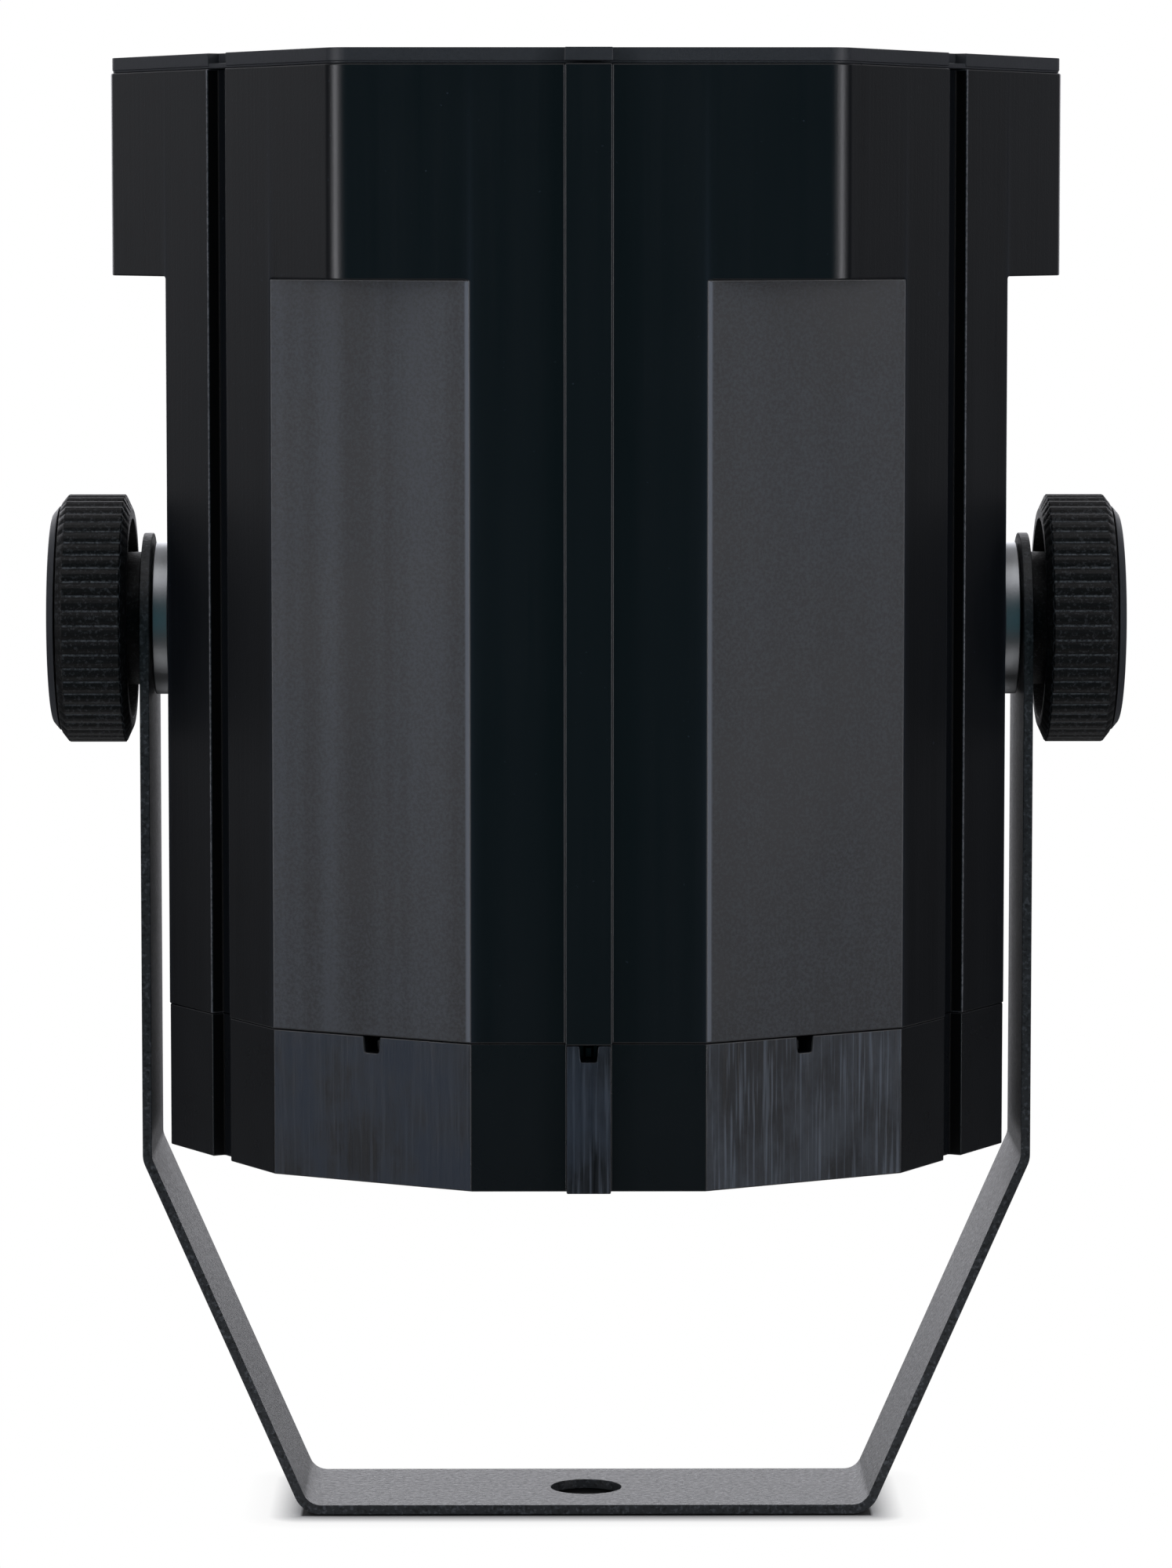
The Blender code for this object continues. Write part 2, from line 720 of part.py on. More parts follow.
def radial_block(name, angle, inner, outer, width, low, high):
    """A block that runs outwards at this angle from the front."""
    obj = box(name, (inner, -width / 2, low), (outer, width / 2, high))
    obj.rotation_euler.z = math.radians(angle - 90)
    bpy.context.view_layer.update()
    return obj


def screw(name, at, seat, material, point_up=1):
    """A pan-head screw whose head rests on the seat height and whose shank points up or down."""
    length = SCREW_LENGTH * point_up
    head = -SCREW_HEAD_HEIGHT * point_up
    profile = [
        (0.0, length),
        (SCREW_SHANK_RADIUS, length),
        (SCREW_SHANK_RADIUS, 0.0),
        (SCREW_HEAD_RADIUS, 0.0),
        (SCREW_HEAD_RADIUS, head),
        (0.0, head),
    ]
    obj = turned(name, profile, SMALL_STEPS)
    obj.location = (at[0], at[1], seat)
    return finish(obj, material, 30)


def screw_circle(name, radius, angles, seat, material, point_up=1):
    """Like screws on a circle, numbered from 1."""
    return [
        screw(f"{name}_{number}", polar(angle, radius), seat, material, point_up)
        for number, angle in enumerate(angles, 1)
    ]


def screw_hole(at, low, high):
    return cylinder("hole", SCREW_SHANK_RADIUS + FIT, low, high, at, SMALL_STEPS)


def head_recess(at, low, high):
    return cylinder("recess", SCREW_HEAD_RADIUS + FIT, low, high, at, SMALL_STEPS)


def strap_outline():
    """Side view of the bent yoke strap, in X and Z."""
    centre = ARM_OUTER
    corners = [
        Vector((-centre, PIVOT_HEIGHT + ARM_ABOVE_PIVOT)),
        Vector((-centre, BEND_HEIGHT)),
        Vector((-BASE_HALF_WIDTH, 0.0)),
        Vector((BASE_HALF_WIDTH, 0.0)),
        Vector((centre, BEND_HEIGHT)),
        Vector((centre, PIVOT_HEIGHT + ARM_ABOVE_PIVOT)),
    ]
    outer, inner = [], []
    for i, corner in enumerate(corners):
        if i in (0, len(corners) - 1):
            inward = Vector((1.0 if i == 0 else -1.0, 0.0))
            outer.append(corner)
            inner.append(corner + inward * STRAP_THICKNESS)
            continue
        for place, inward in bend_points(corners[i - 1], corner, corners[i + 1]):
            outer.append(place)
            inner.append(place + inward * STRAP_THICKNESS)
    return [point[:] for point in outer + inner[::-1]]


def bend_points(before, corner, after, steps=4):
    """Points round the outside of one bend, each with the direction to the bend's centre."""
    arriving = (corner - before).normalized()
    leaving = (after - corner).normalized()
    turn = arriving.angle(leaving)
    reach = BEND_RADIUS * math.tan(turn / 2)
    start = corner - arriving * reach
    inward = Vector((-arriving.y, arriving.x))
    middle = start + inward * BEND_RADIUS
    found = []
    for i in range(steps + 1):
        spoke = Matrix.Rotation(turn * i / steps, 2) @ (start - middle)
        found.append((middle + spoke, -spoke.normalized()))
    return found


def yoke_bracket():
    """The bent strap, with round arm ends, pivot holes and the clamp bolt's hole."""
    strap = prism("yoke_bracket", strap_outline(), -STRAP_WIDTH / 2, STRAP_WIDTH / 2)
    bm = bmesh.new()
    bm.from_mesh(strap.data)
    bmesh.ops.rotate(bm, verts=bm.verts, matrix=Matrix.Rotation(math.pi / 2, 3, "X"))
    bm.to_mesh(strap.data)
    bm.free()
    end_centre = PIVOT_HEIGHT + ARM_ABOVE_PIVOT - STRAP_WIDTH / 2
    reach = ARM_OUTER + CUT_MARGIN
    corner_block = box(
        "arm_corners",
        (-reach, -STRAP_WIDTH, end_centre),
        (reach, STRAP_WIDTH, end_centre + STRAP_WIDTH),
    )
    arm_end = cylinder("arm_end", STRAP_WIDTH / 2, -2 * reach, 2 * reach, steps=ARM_END_STEPS)
    arm_end.rotation_euler = (0.0, math.pi / 2, 0.0)
    arm_end.location = (0.0, 0.0, end_centre)
    bpy.context.view_layer.update()
    cut(corner_block, arm_end)
    pivot_holes = [
        across_cylinder("pivot_hole", STUD_RADIUS + FIT, ARM_INNER - CUT_MARGIN, reach, side)
        for side in (-1, 1)
    ]
    clamp_hole = cylinder("clamp_hole", CLAMP_HOLE_RADIUS, -CUT_MARGIN, STRAP_THICKNESS + CUT_MARGIN)
    cut(strap, corner_block, *pivot_holes, clamp_hole)
    return finish(strap, powder_coat())


def friction_washer(side_name, side):
    """The washer between the yoke arm and the housing."""
    low, high = BODY_APOTHEM + FIT, ARM_INNER - FIT
    bore = STUD_RADIUS + FIT
    profile = [(WASHER_RADIUS, high), (WASHER_RADIUS, low), (bore, low), (bore, high)]
    washer = turned("friction_washer_" + side_name, profile, FINE_STEPS)
    along_pivot(washer, side)
    return finish(washer, bare_steel(), 30)


def pivot_insert(side_name, side):
    """The threaded brass bush in the housing wall, with its flange on the inside."""
    outer = BODY_APOTHEM
    inner = CAVITY_APOTHEM - PIVOT_BOSS_DEPTH - FIT
    flange = inner - INSERT_FLANGE_THICKNESS
    bore = STUD_RADIUS + RUNNING_FIT
    profile = [
        (INSERT_RADIUS, outer),
        (INSERT_RADIUS, inner),
        (INSERT_FLANGE_RADIUS, inner),
        (INSERT_FLANGE_RADIUS, flange),
        (bore, flange),
        (bore, outer),
    ]
    insert = turned("pivot_insert_" + side_name, profile)
    along_pivot(insert, side)
    return finish(insert, brass(), 30)


def knob_heights():
    """Where the knob's neck, grip and cap begin and end, measured along the pivot axis."""
    neck = ARM_OUTER + FIT
    back = neck + KNOB_NECK - FIT
    front = back + KNOB_GRIP_LENGTH
    return neck, back, front


def knob_grip(side_name, side):
    """The ribbed grip, hollow at the back round its hub."""
    neck, back, front = knob_heights()
    outline = []
    for i in range(2 * KNOB_RIB_COUNT):
        radius = KNOB_RADIUS - (KNOB_RIB_DEPTH if i % 2 else 0.0)
        outline.append(polar(i * 180 / KNOB_RIB_COUNT, radius))
    grip = prism("knob_grip_" + side_name, outline, back, front)
    limit = KNOB_RADIUS + CUT_MARGIN
    front_slope = (KNOB_RADIUS - KNOB_FRONT_RADIUS) / KNOB_FRONT_CHAMFER
    back_slope = (KNOB_RADIUS - KNOB_BACK_RADIUS) / KNOB_BACK_CHAMFER
    chamfers = turned(
        "chamfers",
        [
            (limit, front + CUT_MARGIN),
            (limit, front - KNOB_FRONT_CHAMFER - CUT_MARGIN / front_slope),
            (KNOB_FRONT_RADIUS - CUT_MARGIN, front + CUT_MARGIN / front_slope),
            (KNOB_FRONT_RADIUS - CUT_MARGIN, front + CUT_MARGIN),
        ],
        FINE_STEPS,
    )
    back_chamfer = turned(
        "back_chamfer",
        [
            (KNOB_BACK_RADIUS - CUT_MARGIN, back - CUT_MARGIN),
            (KNOB_BACK_RADIUS - CUT_MARGIN, back - CUT_MARGIN / back_slope),
            (limit, back + KNOB_BACK_CHAMFER + CUT_MARGIN / back_slope),
            (limit, back - CUT_MARGIN),
        ],
        FINE_STEPS,
    )
    cavity = turned(
        "cavity",
        [
            (KNOB_CAVITY_RADIUS, back + KNOB_CAVITY_DEPTH),
            (KNOB_CAVITY_RADIUS, back - CUT_MARGIN),
            (KNOB_HUB_RADIUS, back - CUT_MARGIN),
            (KNOB_HUB_RADIUS, back + KNOB_CAVITY_DEPTH),
        ],
        FINE_STEPS,
    )
    cap_seat = cylinder(
        "cap_seat", KNOB_CAP_SPIGOT_RADIUS + FIT, front - KNOB_CAP_SPIGOT_LENGTH - FIT,
        front + CUT_MARGIN,
    )
    cut(grip, chamfers, back_chamfer, cavity, cap_seat)
    join(grip, cylinder("neck", KNOB_HUB_RADIUS, neck, back + KNOB_CAVITY_DEPTH / 2, steps=FINE_STEPS))
    bore_end = neck + STUD_GRIP_DEPTH + FIT
    cut(grip, cylinder("stud_bore", STUD_RADIUS + RUNNING_FIT, neck - CUT_MARGIN, bore_end))
    along_pivot(grip, side)
    return finish(grip, knob_plastic())


def knob_cap(side_name, side):
    """The smooth disc that closes the knob's end."""
    _, _, front = knob_heights()
    low = front + FIT
    high = low + KNOB_CAP_THICKNESS
    slope = (KNOB_RADIUS - KNOB_FRONT_RADIUS) / KNOB_FRONT_CHAMFER
    foot = KNOB_FRONT_RADIUS - FIT * slope
    profile = [
        (0.0, high),
        (KNOB_CAP_RADIUS, high),
        (foot, low),
        (KNOB_CAP_SPIGOT_RADIUS, low),
        (KNOB_CAP_SPIGOT_RADIUS, front - KNOB_CAP_SPIGOT_LENGTH),
        (0.0, front - KNOB_CAP_SPIGOT_LENGTH),
    ]
    cap = turned("knob_cap_" + side_name, profile, FINE_STEPS)
    along_pivot(cap, side)
    return finish(cap, knob_plastic(), 20)


def knob_stud(side_name, side):
    """The threaded stud that is fixed in the knob and screws into the housing's insert."""
    neck, _, _ = knob_heights()
    stud = across_cylinder(
        "knob_stud_" + side_name, STUD_RADIUS, BODY_APOTHEM - STUD_INSERT_DEPTH,
        neck + STUD_GRIP_DEPTH, side,
    )
    return finish(stud, bare_steel(), 30)


def snap_window(angle):
    """The trapezoid window at the cap's top edge that shows the snap catch."""
    top = SEAM - FIT
    half_top, half_foot = SNAP_WINDOW_WIDTH / 2, SNAP_WINDOW_FOOT / 2
    foot = top - SNAP_WINDOW_HEIGHT
    slope = (half_top - half_foot) / SNAP_WINDOW_HEIGHT
    outline = [
        (-half_foot, foot),
        (half_foot, foot),
        (half_top + slope * CUT_MARGIN, top + CUT_MARGIN),
        (-half_top - slope * CUT_MARGIN, top + CUT_MARGIN),
    ]
    reach = BODY_APOTHEM + RIB_HEIGHT + CUT_MARGIN
    window = prism("window", outline, CAVITY_APOTHEM - CUT_MARGIN, reach)
    window.matrix_world = (
        Matrix.Rotation(math.radians(angle), 4, "Z") @ Matrix.Rotation(math.pi / 2, 4, "X")
    )
    bpy.context.view_layer.update()
    return window


def snap_tongue(angle):
    """A springy tongue that hangs from the housing inside the cap, with its catch."""
    outer = CAVITY_APOTHEM - CAP_SETBACK - FIT
    inner = outer - SNAP_TONGUE_THICKNESS
    foot = SEAM - SNAP_TONGUE_DROP
    tongue = radial_block("tongue", angle, inner, outer, SNAP_TONGUE_WIDTH, foot, SEAM + SNAP_ROOT_HEIGHT)
    root = radial_block(
        "root", angle, outer - SNAP_TONGUE_THICKNESS / 2, CAVITY_APOTHEM + WALL / 2,
        SNAP_TONGUE_WIDTH, SEAM + CUT_MARGIN, SEAM + SNAP_ROOT_HEIGHT - CUT_MARGIN,
    )
    catch_top = SEAM - FIT - CUT_MARGIN / 2
    catch = radial_block(
        "catch", angle, outer - SNAP_TONGUE_THICKNESS / 2, outer + SNAP_CATCH_REACH,
        SNAP_WINDOW_FOOT - 2 * FIT, SEAM - SNAP_WINDOW_HEIGHT, catch_top,
    )
    return join(tongue, root, catch)


def gobo_slot(margin, low_y, high_y):
    """The opening in the back wall that the gobo holder slides through."""
    half = HOLDER_HALF_WIDTH + margin
    return box("slot", (-half, low_y, HOLDER_BOTTOM - margin), (half, high_y, HOLDER_TOP + margin))


def main_housing():
    """The moulded shell: twelve-sided body and six-sided lens head in one piece."""
    shell = prism("main_housing", body_outline(BODY_APOTHEM, RIB_WIDTH), SEAM, HEAD_TOP - CUT_MARGIN)
    join(shell, prism("head", head_outline(BODY_APOTHEM), HEAD_UNDERSIDE, HEAD_TOP))
    cavity = prism(
        "cavity", regular_outline(12, CAVITY_APOTHEM), SEAM - CUT_MARGIN, HEAD_TOP + CUT_MARGIN
    )
    cut(shell, cavity)
    shelves = [
        radial_block("shelf", angle, SHELF_INNER, CAVITY_APOTHEM + WALL / 2, SHELF_WIDTH,
                     SHELF_BOTTOM, SHELF_BOTTOM + SHELF_HEIGHT)
        for angle in SHELF_ANGLES
    ]
    bosses = [
        across_cylinder("boss", PIVOT_BOSS_RADIUS, CAVITY_APOTHEM - PIVOT_BOSS_DEPTH,
                        CAVITY_APOTHEM + WALL / 2, side)
        for side in (-1, 1)
    ]
    tongues = [snap_tongue(angle) for angle in SNAP_ANGLES]
    join(shell, *shelves, *bosses, *tongues)
    bores = [
        across_cylinder("bore", INSERT_RADIUS + FIT, CAVITY_APOTHEM - PIVOT_BOSS_DEPTH - CUT_MARGIN,
                        BODY_APOTHEM + CUT_MARGIN, side)
        for side in (-1, 1)
    ]
    holes = [
        screw_hole(polar(angle, BEZEL_SCREW_CIRCLE), HEAD_TOP - SCREW_LENGTH, HEAD_TOP + CUT_MARGIN)
        for angle in BEZEL_SCREW_ANGLES
    ]
    holes += [
        screw_hole(polar(angle, CHASSIS_SCREW_CIRCLE), SHELF_BOTTOM - CUT_MARGIN,
                   SHELF_BOTTOM + SCREW_LENGTH)
        for angle in SHELF_ANGLES
    ]
    tab_room = box(
        "tab_room",
        (-HOLDER_HALF_WIDTH - FIT, BODY_APOTHEM, HOLDER_BOTTOM - FIT),
        (HOLDER_HALF_WIDTH + FIT, BODY_APOTHEM + RIB_HEIGHT + CUT_MARGIN, HOLDER_TOP + FIT),
    )
    slot = gobo_slot(FIT, CAVITY_APOTHEM - CUT_MARGIN, BODY_APOTHEM + CUT_MARGIN)
    cut(shell, *bores, *holes, tab_room, slot)
    return finish(shell, housing_plastic())


def front_bezel():
    """The flat plate over the lens head, with the opening for the focus ring."""
    plate = prism("front_bezel", head_outline(BODY_APOTHEM - CAP_SETBACK), BEZEL_UNDERSIDE, BEZEL_TOP)
    opening = cylinder(
        "opening", RING_COLLAR_RADIUS + FIT, BEZEL_UNDERSIDE - CUT_MARGIN, BEZEL_TOP + CUT_MARGIN,
        steps=FINE_STEPS,
    )
    cutters = [opening]
    for angle in BEZEL_SCREW_ANGLES:
        at = polar(angle, BEZEL_SCREW_CIRCLE)
        cutters.append(screw_hole(at, BEZEL_UNDERSIDE - CUT_MARGIN, BEZEL_TOP + CUT_MARGIN))
        cutters.append(head_recess(at, BEZEL_TOP - SCREW_HEAD_HEIGHT - FIT, BEZEL_TOP + CUT_MARGIN))
    cut(plate, *cutters)
    return finish(plate, housing_plastic())


def bezel_screws():
    seat = BEZEL_TOP - SCREW_HEAD_HEIGHT
    return screw_circle("bezel_screw", BEZEL_SCREW_CIRCLE, BEZEL_SCREW_ANGLES, seat, black_screw(), -1)


def rear_cap():
    """The ring-shaped cap that snaps on below the body and holds the connector panel."""
    apothem = BODY_APOTHEM - CAP_SETBACK
    inner = CAVITY_APOTHEM - CAP_SETBACK
    ring = prism("rear_cap", body_outline(apothem, CAP_RIB_WIDTH), CAP_BOTTOM, SEAM - FIT)
    cut(ring, prism("hollow", regular_outline(12, inner), CAP_BOTTOM - CUT_MARGIN, SEAM + CUT_MARGIN))
    low = PANEL_INNER_FACE + FIT
    posts = [
        radial_block("post", angle, SCREW_POST_INNER, inner / math.cos(math.pi / 12) + WALL / 2,
                     SCREW_POST_WIDTH, low, low + SCREW_POST_HEIGHT)
        for angle in POST_ANGLES
    ]
    join(ring, *posts)
    holes = [
        screw_hole(polar(angle, PANEL_SCREW_CIRCLE), low - CUT_MARGIN, low + SCREW_LENGTH)
        for angle in POST_ANGLES
    ]
    windows = [snap_window(angle) for angle in SNAP_ANGLES]
    cut(ring, *holes, *windows)
    return finish(ring, cap_plastic())


def button_places():
    first = -BUTTON_PITCH * (BUTTON_COUNT - 1) / 2
    return [(first + i * BUTTON_PITCH, BUTTON_Y) for i in range(BUTTON_COUNT)]


def centred_box(name, centre, width, height, low, high):
    """A box given by the middle, width and height of its plan, between two heights."""
    x, y = centre
    return box(name, (x - width / 2, y - height / 2, low), (x + width / 2, y + height / 2, high))


def rear_panel():
    """The recessed plate with its cut-outs, and the pressed-in spacers for the driver board."""
    low, high = PANEL_OUTER_FACE, PANEL_INNER_FACE
    apothem = CAVITY_APOTHEM - CAP_SETBACK - FIT
    panel = prism("rear_panel", regular_outline(12, apothem), low, high)
    below, above = low - CUT_MARGIN, high + CUT_MARGIN
    cutters = [
        centred_box("inlet", (0.0, INLET_Y), INLET_WIDTH + 2 * FIT, INLET_HEIGHT + 2 * FIT, below, above),
        centred_box("display", (0.0, DISPLAY_Y), DISPLAY_WIDTH, DISPLAY_HEIGHT, below, above),
    ]
    for x in (-DMX_X, DMX_X):
        cutters.append(cylinder("dmx", DMX_BODY_RADIUS + FIT, below, above, (x, DMX_Y), FINE_STEPS))
    for at in button_places():
        cutters.append(cylinder("button", BUTTON_RADIUS + FIT, below, above, at, BUTTON_STEPS))
    for i in range(VENT_COUNT):
        y = VENT_CENTRE_Y + (i - (VENT_COUNT - 1) / 2) * VENT_PITCH
        cutters.append(centred_box("vent", (0.0, y), VENT_LENGTH, VENT_WIDTH, below, above))
    for angle in POST_ANGLES:
        cutters.append(screw_hole(polar(angle, PANEL_SCREW_CIRCLE), below, above))
    cut(panel, *cutters)
    standoffs = [
        cylinder("standoff", STANDOFF_RADIUS, (low + high) / 2, DRIVER_BOARD_UNDERSIDE - FIT, (x, y),
                 STANDOFF_SIDES)
        for x in (-STANDOFF_X, STANDOFF_X)
        for y in (-STANDOFF_Y, STANDOFF_Y)
    ]
    join(panel, *standoffs)
    return finish(panel, panel_paint())


def panel_screws():
    seat = PANEL_OUTER_FACE - FIT
    return screw_circle("panel_screw", PANEL_SCREW_CIRCLE, POST_ANGLES, seat, black_screw())


def power_inlet():
    """The mains inlet: flange, socket with its three blades moulded in, and fuse drawer bay."""
    outer = PANEL_OUTER_FACE - FIT - FLANGE_THICKNESS
    top = PANEL_INNER_FACE + CONNECTOR_DEPTH
    centre = (0.0, INLET_Y)
    inlet = centred_box("power_inlet", centre, INLET_WIDTH, INLET_HEIGHT, outer, top)
    flange = centred_box(
        "flange", centre, INLET_WIDTH + 2 * INLET_FLANGE_EDGE, INLET_HEIGHT + 2 * INLET_FLANGE_EDGE,
        outer, outer + FLANGE_THICKNESS,
    )
    join(inlet, flange)
    half_width, half_height = SOCKET_WIDTH / 2, SOCKET_HEIGHT / 2
    middle = INLET_Y + SOCKET_OFFSET
    outline = [
        (-half_width, middle - half_height),
        (half_width, middle - half_height),
        (half_width, middle + half_height - SOCKET_CORNER),
        (half_width - SOCKET_CORNER, middle + half_height),
        (SOCKET_CORNER - half_width, middle + half_height),
        (-half_width, middle + half_height - SOCKET_CORNER),
    ]
    socket = prism("socket", outline, outer - CUT_MARGIN, outer + SOCKET_DEPTH)
    bay = centred_box(
        "bay", (0.0, INLET_Y - DRAWER_OFFSET), DRAWER_WIDTH + 2 * FIT, DRAWER_HEIGHT + 2 * FIT,
        outer - CUT_MARGIN, outer + DRAWER_LENGTH + 2 * FIT,
    )
    cut(inlet, socket, bay)
    blade_y = middle - BLADE_OFFSET
    places = [(-BLADE_SPACING, blade_y), (BLADE_SPACING, blade_y), (0.0, middle + EARTH_OFFSET)]
    blades = [
        centred_box("blade", at, BLADE_WIDTH, BLADE_HEIGHT, outer + BLADE_SETBACK,
                    outer + SOCKET_DEPTH + CUT_MARGIN)
        for at in places
    ]
    join(inlet, *blades)
    return finish(inlet, dark_plastic())


def fuse_drawer():
    """The small drawer in the mains inlet that holds the fuse."""
    outer = PANEL_OUTER_FACE - FIT - FLANGE_THICKNESS
    centre = (0.0, INLET_Y - DRAWER_OFFSET)
    drawer = centred_box("fuse_drawer", centre, DRAWER_WIDTH, DRAWER_HEIGHT, outer - DRAWER_LIP,
                         outer + DRAWER_LENGTH)
    trough = centred_box(
        "trough", centre, DRAWER_WIDTH - 2 * DRAWER_WALL, DRAWER_HEIGHT - 2 * DRAWER_WALL,
        outer + DRAWER_WALL, outer + DRAWER_LENGTH + CUT_MARGIN,
    )
    cut(drawer, trough)
    return finish(drawer, dark_plastic())


def fuse():
    """A tubular fuse lying in the drawer, with its metal end caps."""
    outer = PANEL_OUTER_FACE - FIT - FLANGE_THICKNESS
    height = outer + DRAWER_WALL + FIT + FUSE_RADIUS
    body = cylinder("fuse", FUSE_RADIUS - RUNNING_FIT, -FUSE_LENGTH / 2, FUSE_LENGTH / 2, steps=SMALL_STEPS)
    caps = [
        cylinder("end", FUSE_RADIUS, low, low + FUSE_CAP_LENGTH, steps=SMALL_STEPS)
        for low in (-FUSE_LENGTH / 2, FUSE_LENGTH / 2 - FUSE_CAP_LENGTH)
    ]
    join(body, *caps)
    body.rotation_euler = (0.0, math.pi / 2, 0.0)
    body.location = (0.0, INLET_Y - DRAWER_OFFSET, height)
    return finish(body, bare_steel(), 30)


def dmx_socket(name, x, bore_depth):
    """A round data socket: flange, shell and the open bore."""
    outer = PANEL_OUTER_FACE - FIT - FLANGE_THICKNESS
    top = PANEL_INNER_FACE + CONNECTOR_DEPTH
    at = (x, DMX_Y)
    socket = cylinder(name, DMX_BODY_RADIUS, outer, top, at, FINE_STEPS)
    join(socket, centred_box("flange", at, DMX_FLANGE_WIDTH, DMX_FLANGE_HEIGHT, outer,
                             outer + FLANGE_THICKNESS))
    cut(socket, cylinder("bore", DMX_BORE_RADIUS, outer - CUT_MARGIN, outer + bore_depth, at, FINE_STEPS))
    return socket


def dmx_pin_places(x):
    return [
        (x + DMX_PIN_CIRCLE * math.cos(math.radians(angle)),
         DMX_Y + DMX_PIN_CIRCLE * math.sin(math.radians(angle)))
        for angle in DMX_PIN_ANGLES
    ]


def dmx_in_socket():
    """The data input, with its three pins moulded in."""
    outer = PANEL_OUTER_FACE - FIT - FLANGE_THICKNESS
    socket = dmx_socket("dmx_in_socket", -DMX_X, DMX_CUP_DEPTH)
    pins = [
        cylinder("pin", DMX_PIN_RADIUS, outer + DMX_PIN_SETBACK, outer + DMX_CUP_DEPTH + CUT_MARGIN,
                 at, SMALL_STEPS)
        for at in dmx_pin_places(-DMX_X)
    ]
    join(socket, *pins)
    return finish(socket, dark_plastic())


def dmx_out_socket():
    """The data output, whose insert has three contact holes."""
    outer = PANEL_OUTER_FACE - FIT - FLANGE_THICKNESS
    socket = dmx_socket("dmx_out_socket", DMX_X, DMX_FACE_DEPTH)
    holes = [
        cylinder("hole", DMX_PIN_RADIUS + FIT, outer + DMX_FACE_DEPTH - CUT_MARGIN,
                 outer + DMX_CUP_DEPTH, at, SMALL_STEPS)
        for at in dmx_pin_places(DMX_X)
    ]
    cut(socket, *holes)
    return finish(socket, dark_plastic())


def display_window():
    """The clear pane in the panel's display cut-out."""
    low = PANEL_OUTER_FACE + WINDOW_RECESS
    pane = centred_box(
        "display_window", (0.0, DISPLAY_Y), DISPLAY_WIDTH - 2 * FIT, DISPLAY_HEIGHT - 2 * FIT, low,
        low + DISPLAY_GLASS_THICKNESS,
    )
    return finish(pane, clear_glass())


def display_module():
    """The display block and its board, with one key switch above each button."""
    low = PANEL_INNER_FACE + FIT
    board_low = low + DISPLAY_BLOCK_DEPTH
    middle_y = (DISPLAY_BOARD_LOW_Y + DISPLAY_BOARD_HIGH_Y) / 2
    board = centred_box(
        "display_module", (0.0, middle_y), DISPLAY_BOARD_WIDTH, DISPLAY_BOARD_HIGH_Y - DISPLAY_BOARD_LOW_Y,
        board_low, board_low + BOARD_THICKNESS,
    )
    block = centred_box("block", (0.0, DISPLAY_Y), DISPLAY_WIDTH, DISPLAY_HEIGHT, low,
                        board_low + BOARD_THICKNESS / 2)
    switch_low = button_end() + BUTTON_TRAVEL + FIT
    switches = [
        centred_box("switch", at, SWITCH_SIZE, SWITCH_SIZE, switch_low, board_low + BOARD_THICKNESS / 2)
        for at in button_places()
    ]
    join(board, block, *switches)
    return finish(board, circuit_board())


def button_end():
    """Height of a button's inner end when it is not pressed."""
    return PANEL_INNER_FACE + FIT + BUTTON_FLANGE_THICKNESS


def menu_button(number, at):
    """One menu button with the flange that keeps it behind the panel."""
    flange = PANEL_INNER_FACE + FIT
    profile = [
        (0.0, button_end()),
        (BUTTON_FLANGE_RADIUS, button_end()),
        (BUTTON_FLANGE_RADIUS, flange),
        (BUTTON_RADIUS, flange),
        (BUTTON_RADIUS, PANEL_OUTER_FACE - BUTTON_PROUD),
        (0.0, PANEL_OUTER_FACE - BUTTON_PROUD),
    ]
    button = turned(f"menu_button_{number}", profile, BUTTON_STEPS)
    button.location = (at[0], at[1], 0.0)
    return finish(button, button_rubber(), 30)


def driver_board():
    """The ring-shaped driver and power board with its larger components."""
    low, high = DRIVER_BOARD_UNDERSIDE, DRIVER_BOARD_TOP
    inside = (low + high) / 2
    board = cylinder("driver_board", DRIVER_BOARD_RADIUS, low, high, steps=FINE_STEPS)
    cut(board, cylinder("hole", DRIVER_BOARD_HOLE, low - CUT_MARGIN, high + CUT_MARGIN, steps=FINE_STEPS))
    parts = [
        centred_box(name, centre, width, depth, inside, high + height)
        for name, centre, width, depth, height in BOARD_BLOCKS
    ]
    parts += [
        cylinder("capacitor", CAPACITOR_RADIUS, inside, high + CAPACITOR_HEIGHT, at, BUTTON_STEPS)
        for at in CAPACITOR_PLACES
    ]
    join(board, *parts)
    return finish(board, circuit_board())


def fan_frame():
    """The square fan frame with its motor plate on three spokes."""
    half = FAN_SIDE / 2
    frame = centred_box("fan_frame", (0.0, 0.0), FAN_SIDE, FAN_SIDE, FAN_BOTTOM, FAN_TOP)
    cut(frame, cylinder("opening", FAN_OPENING_RADIUS, FAN_BOTTOM - CUT_MARGIN, FAN_TOP + CUT_MARGIN,
                        steps=FINE_STEPS))
    spoke_top = FAN_BOTTOM + FAN_SPOKE_DEPTH
    plate = cylinder("plate", FAN_HUB_RADIUS, FAN_BOTTOM, spoke_top)
    spokes = [
        radial_block("spoke", angle, FAN_HUB_RADIUS / 2, half - FAN_TIP_GAP, FAN_SPOKE_WIDTH,
                     FAN_BOTTOM, spoke_top)
        for angle in FAN_SPOKE_ANGLES
    ]
    join(frame, plate, *spokes)
    return finish(frame, dark_plastic())


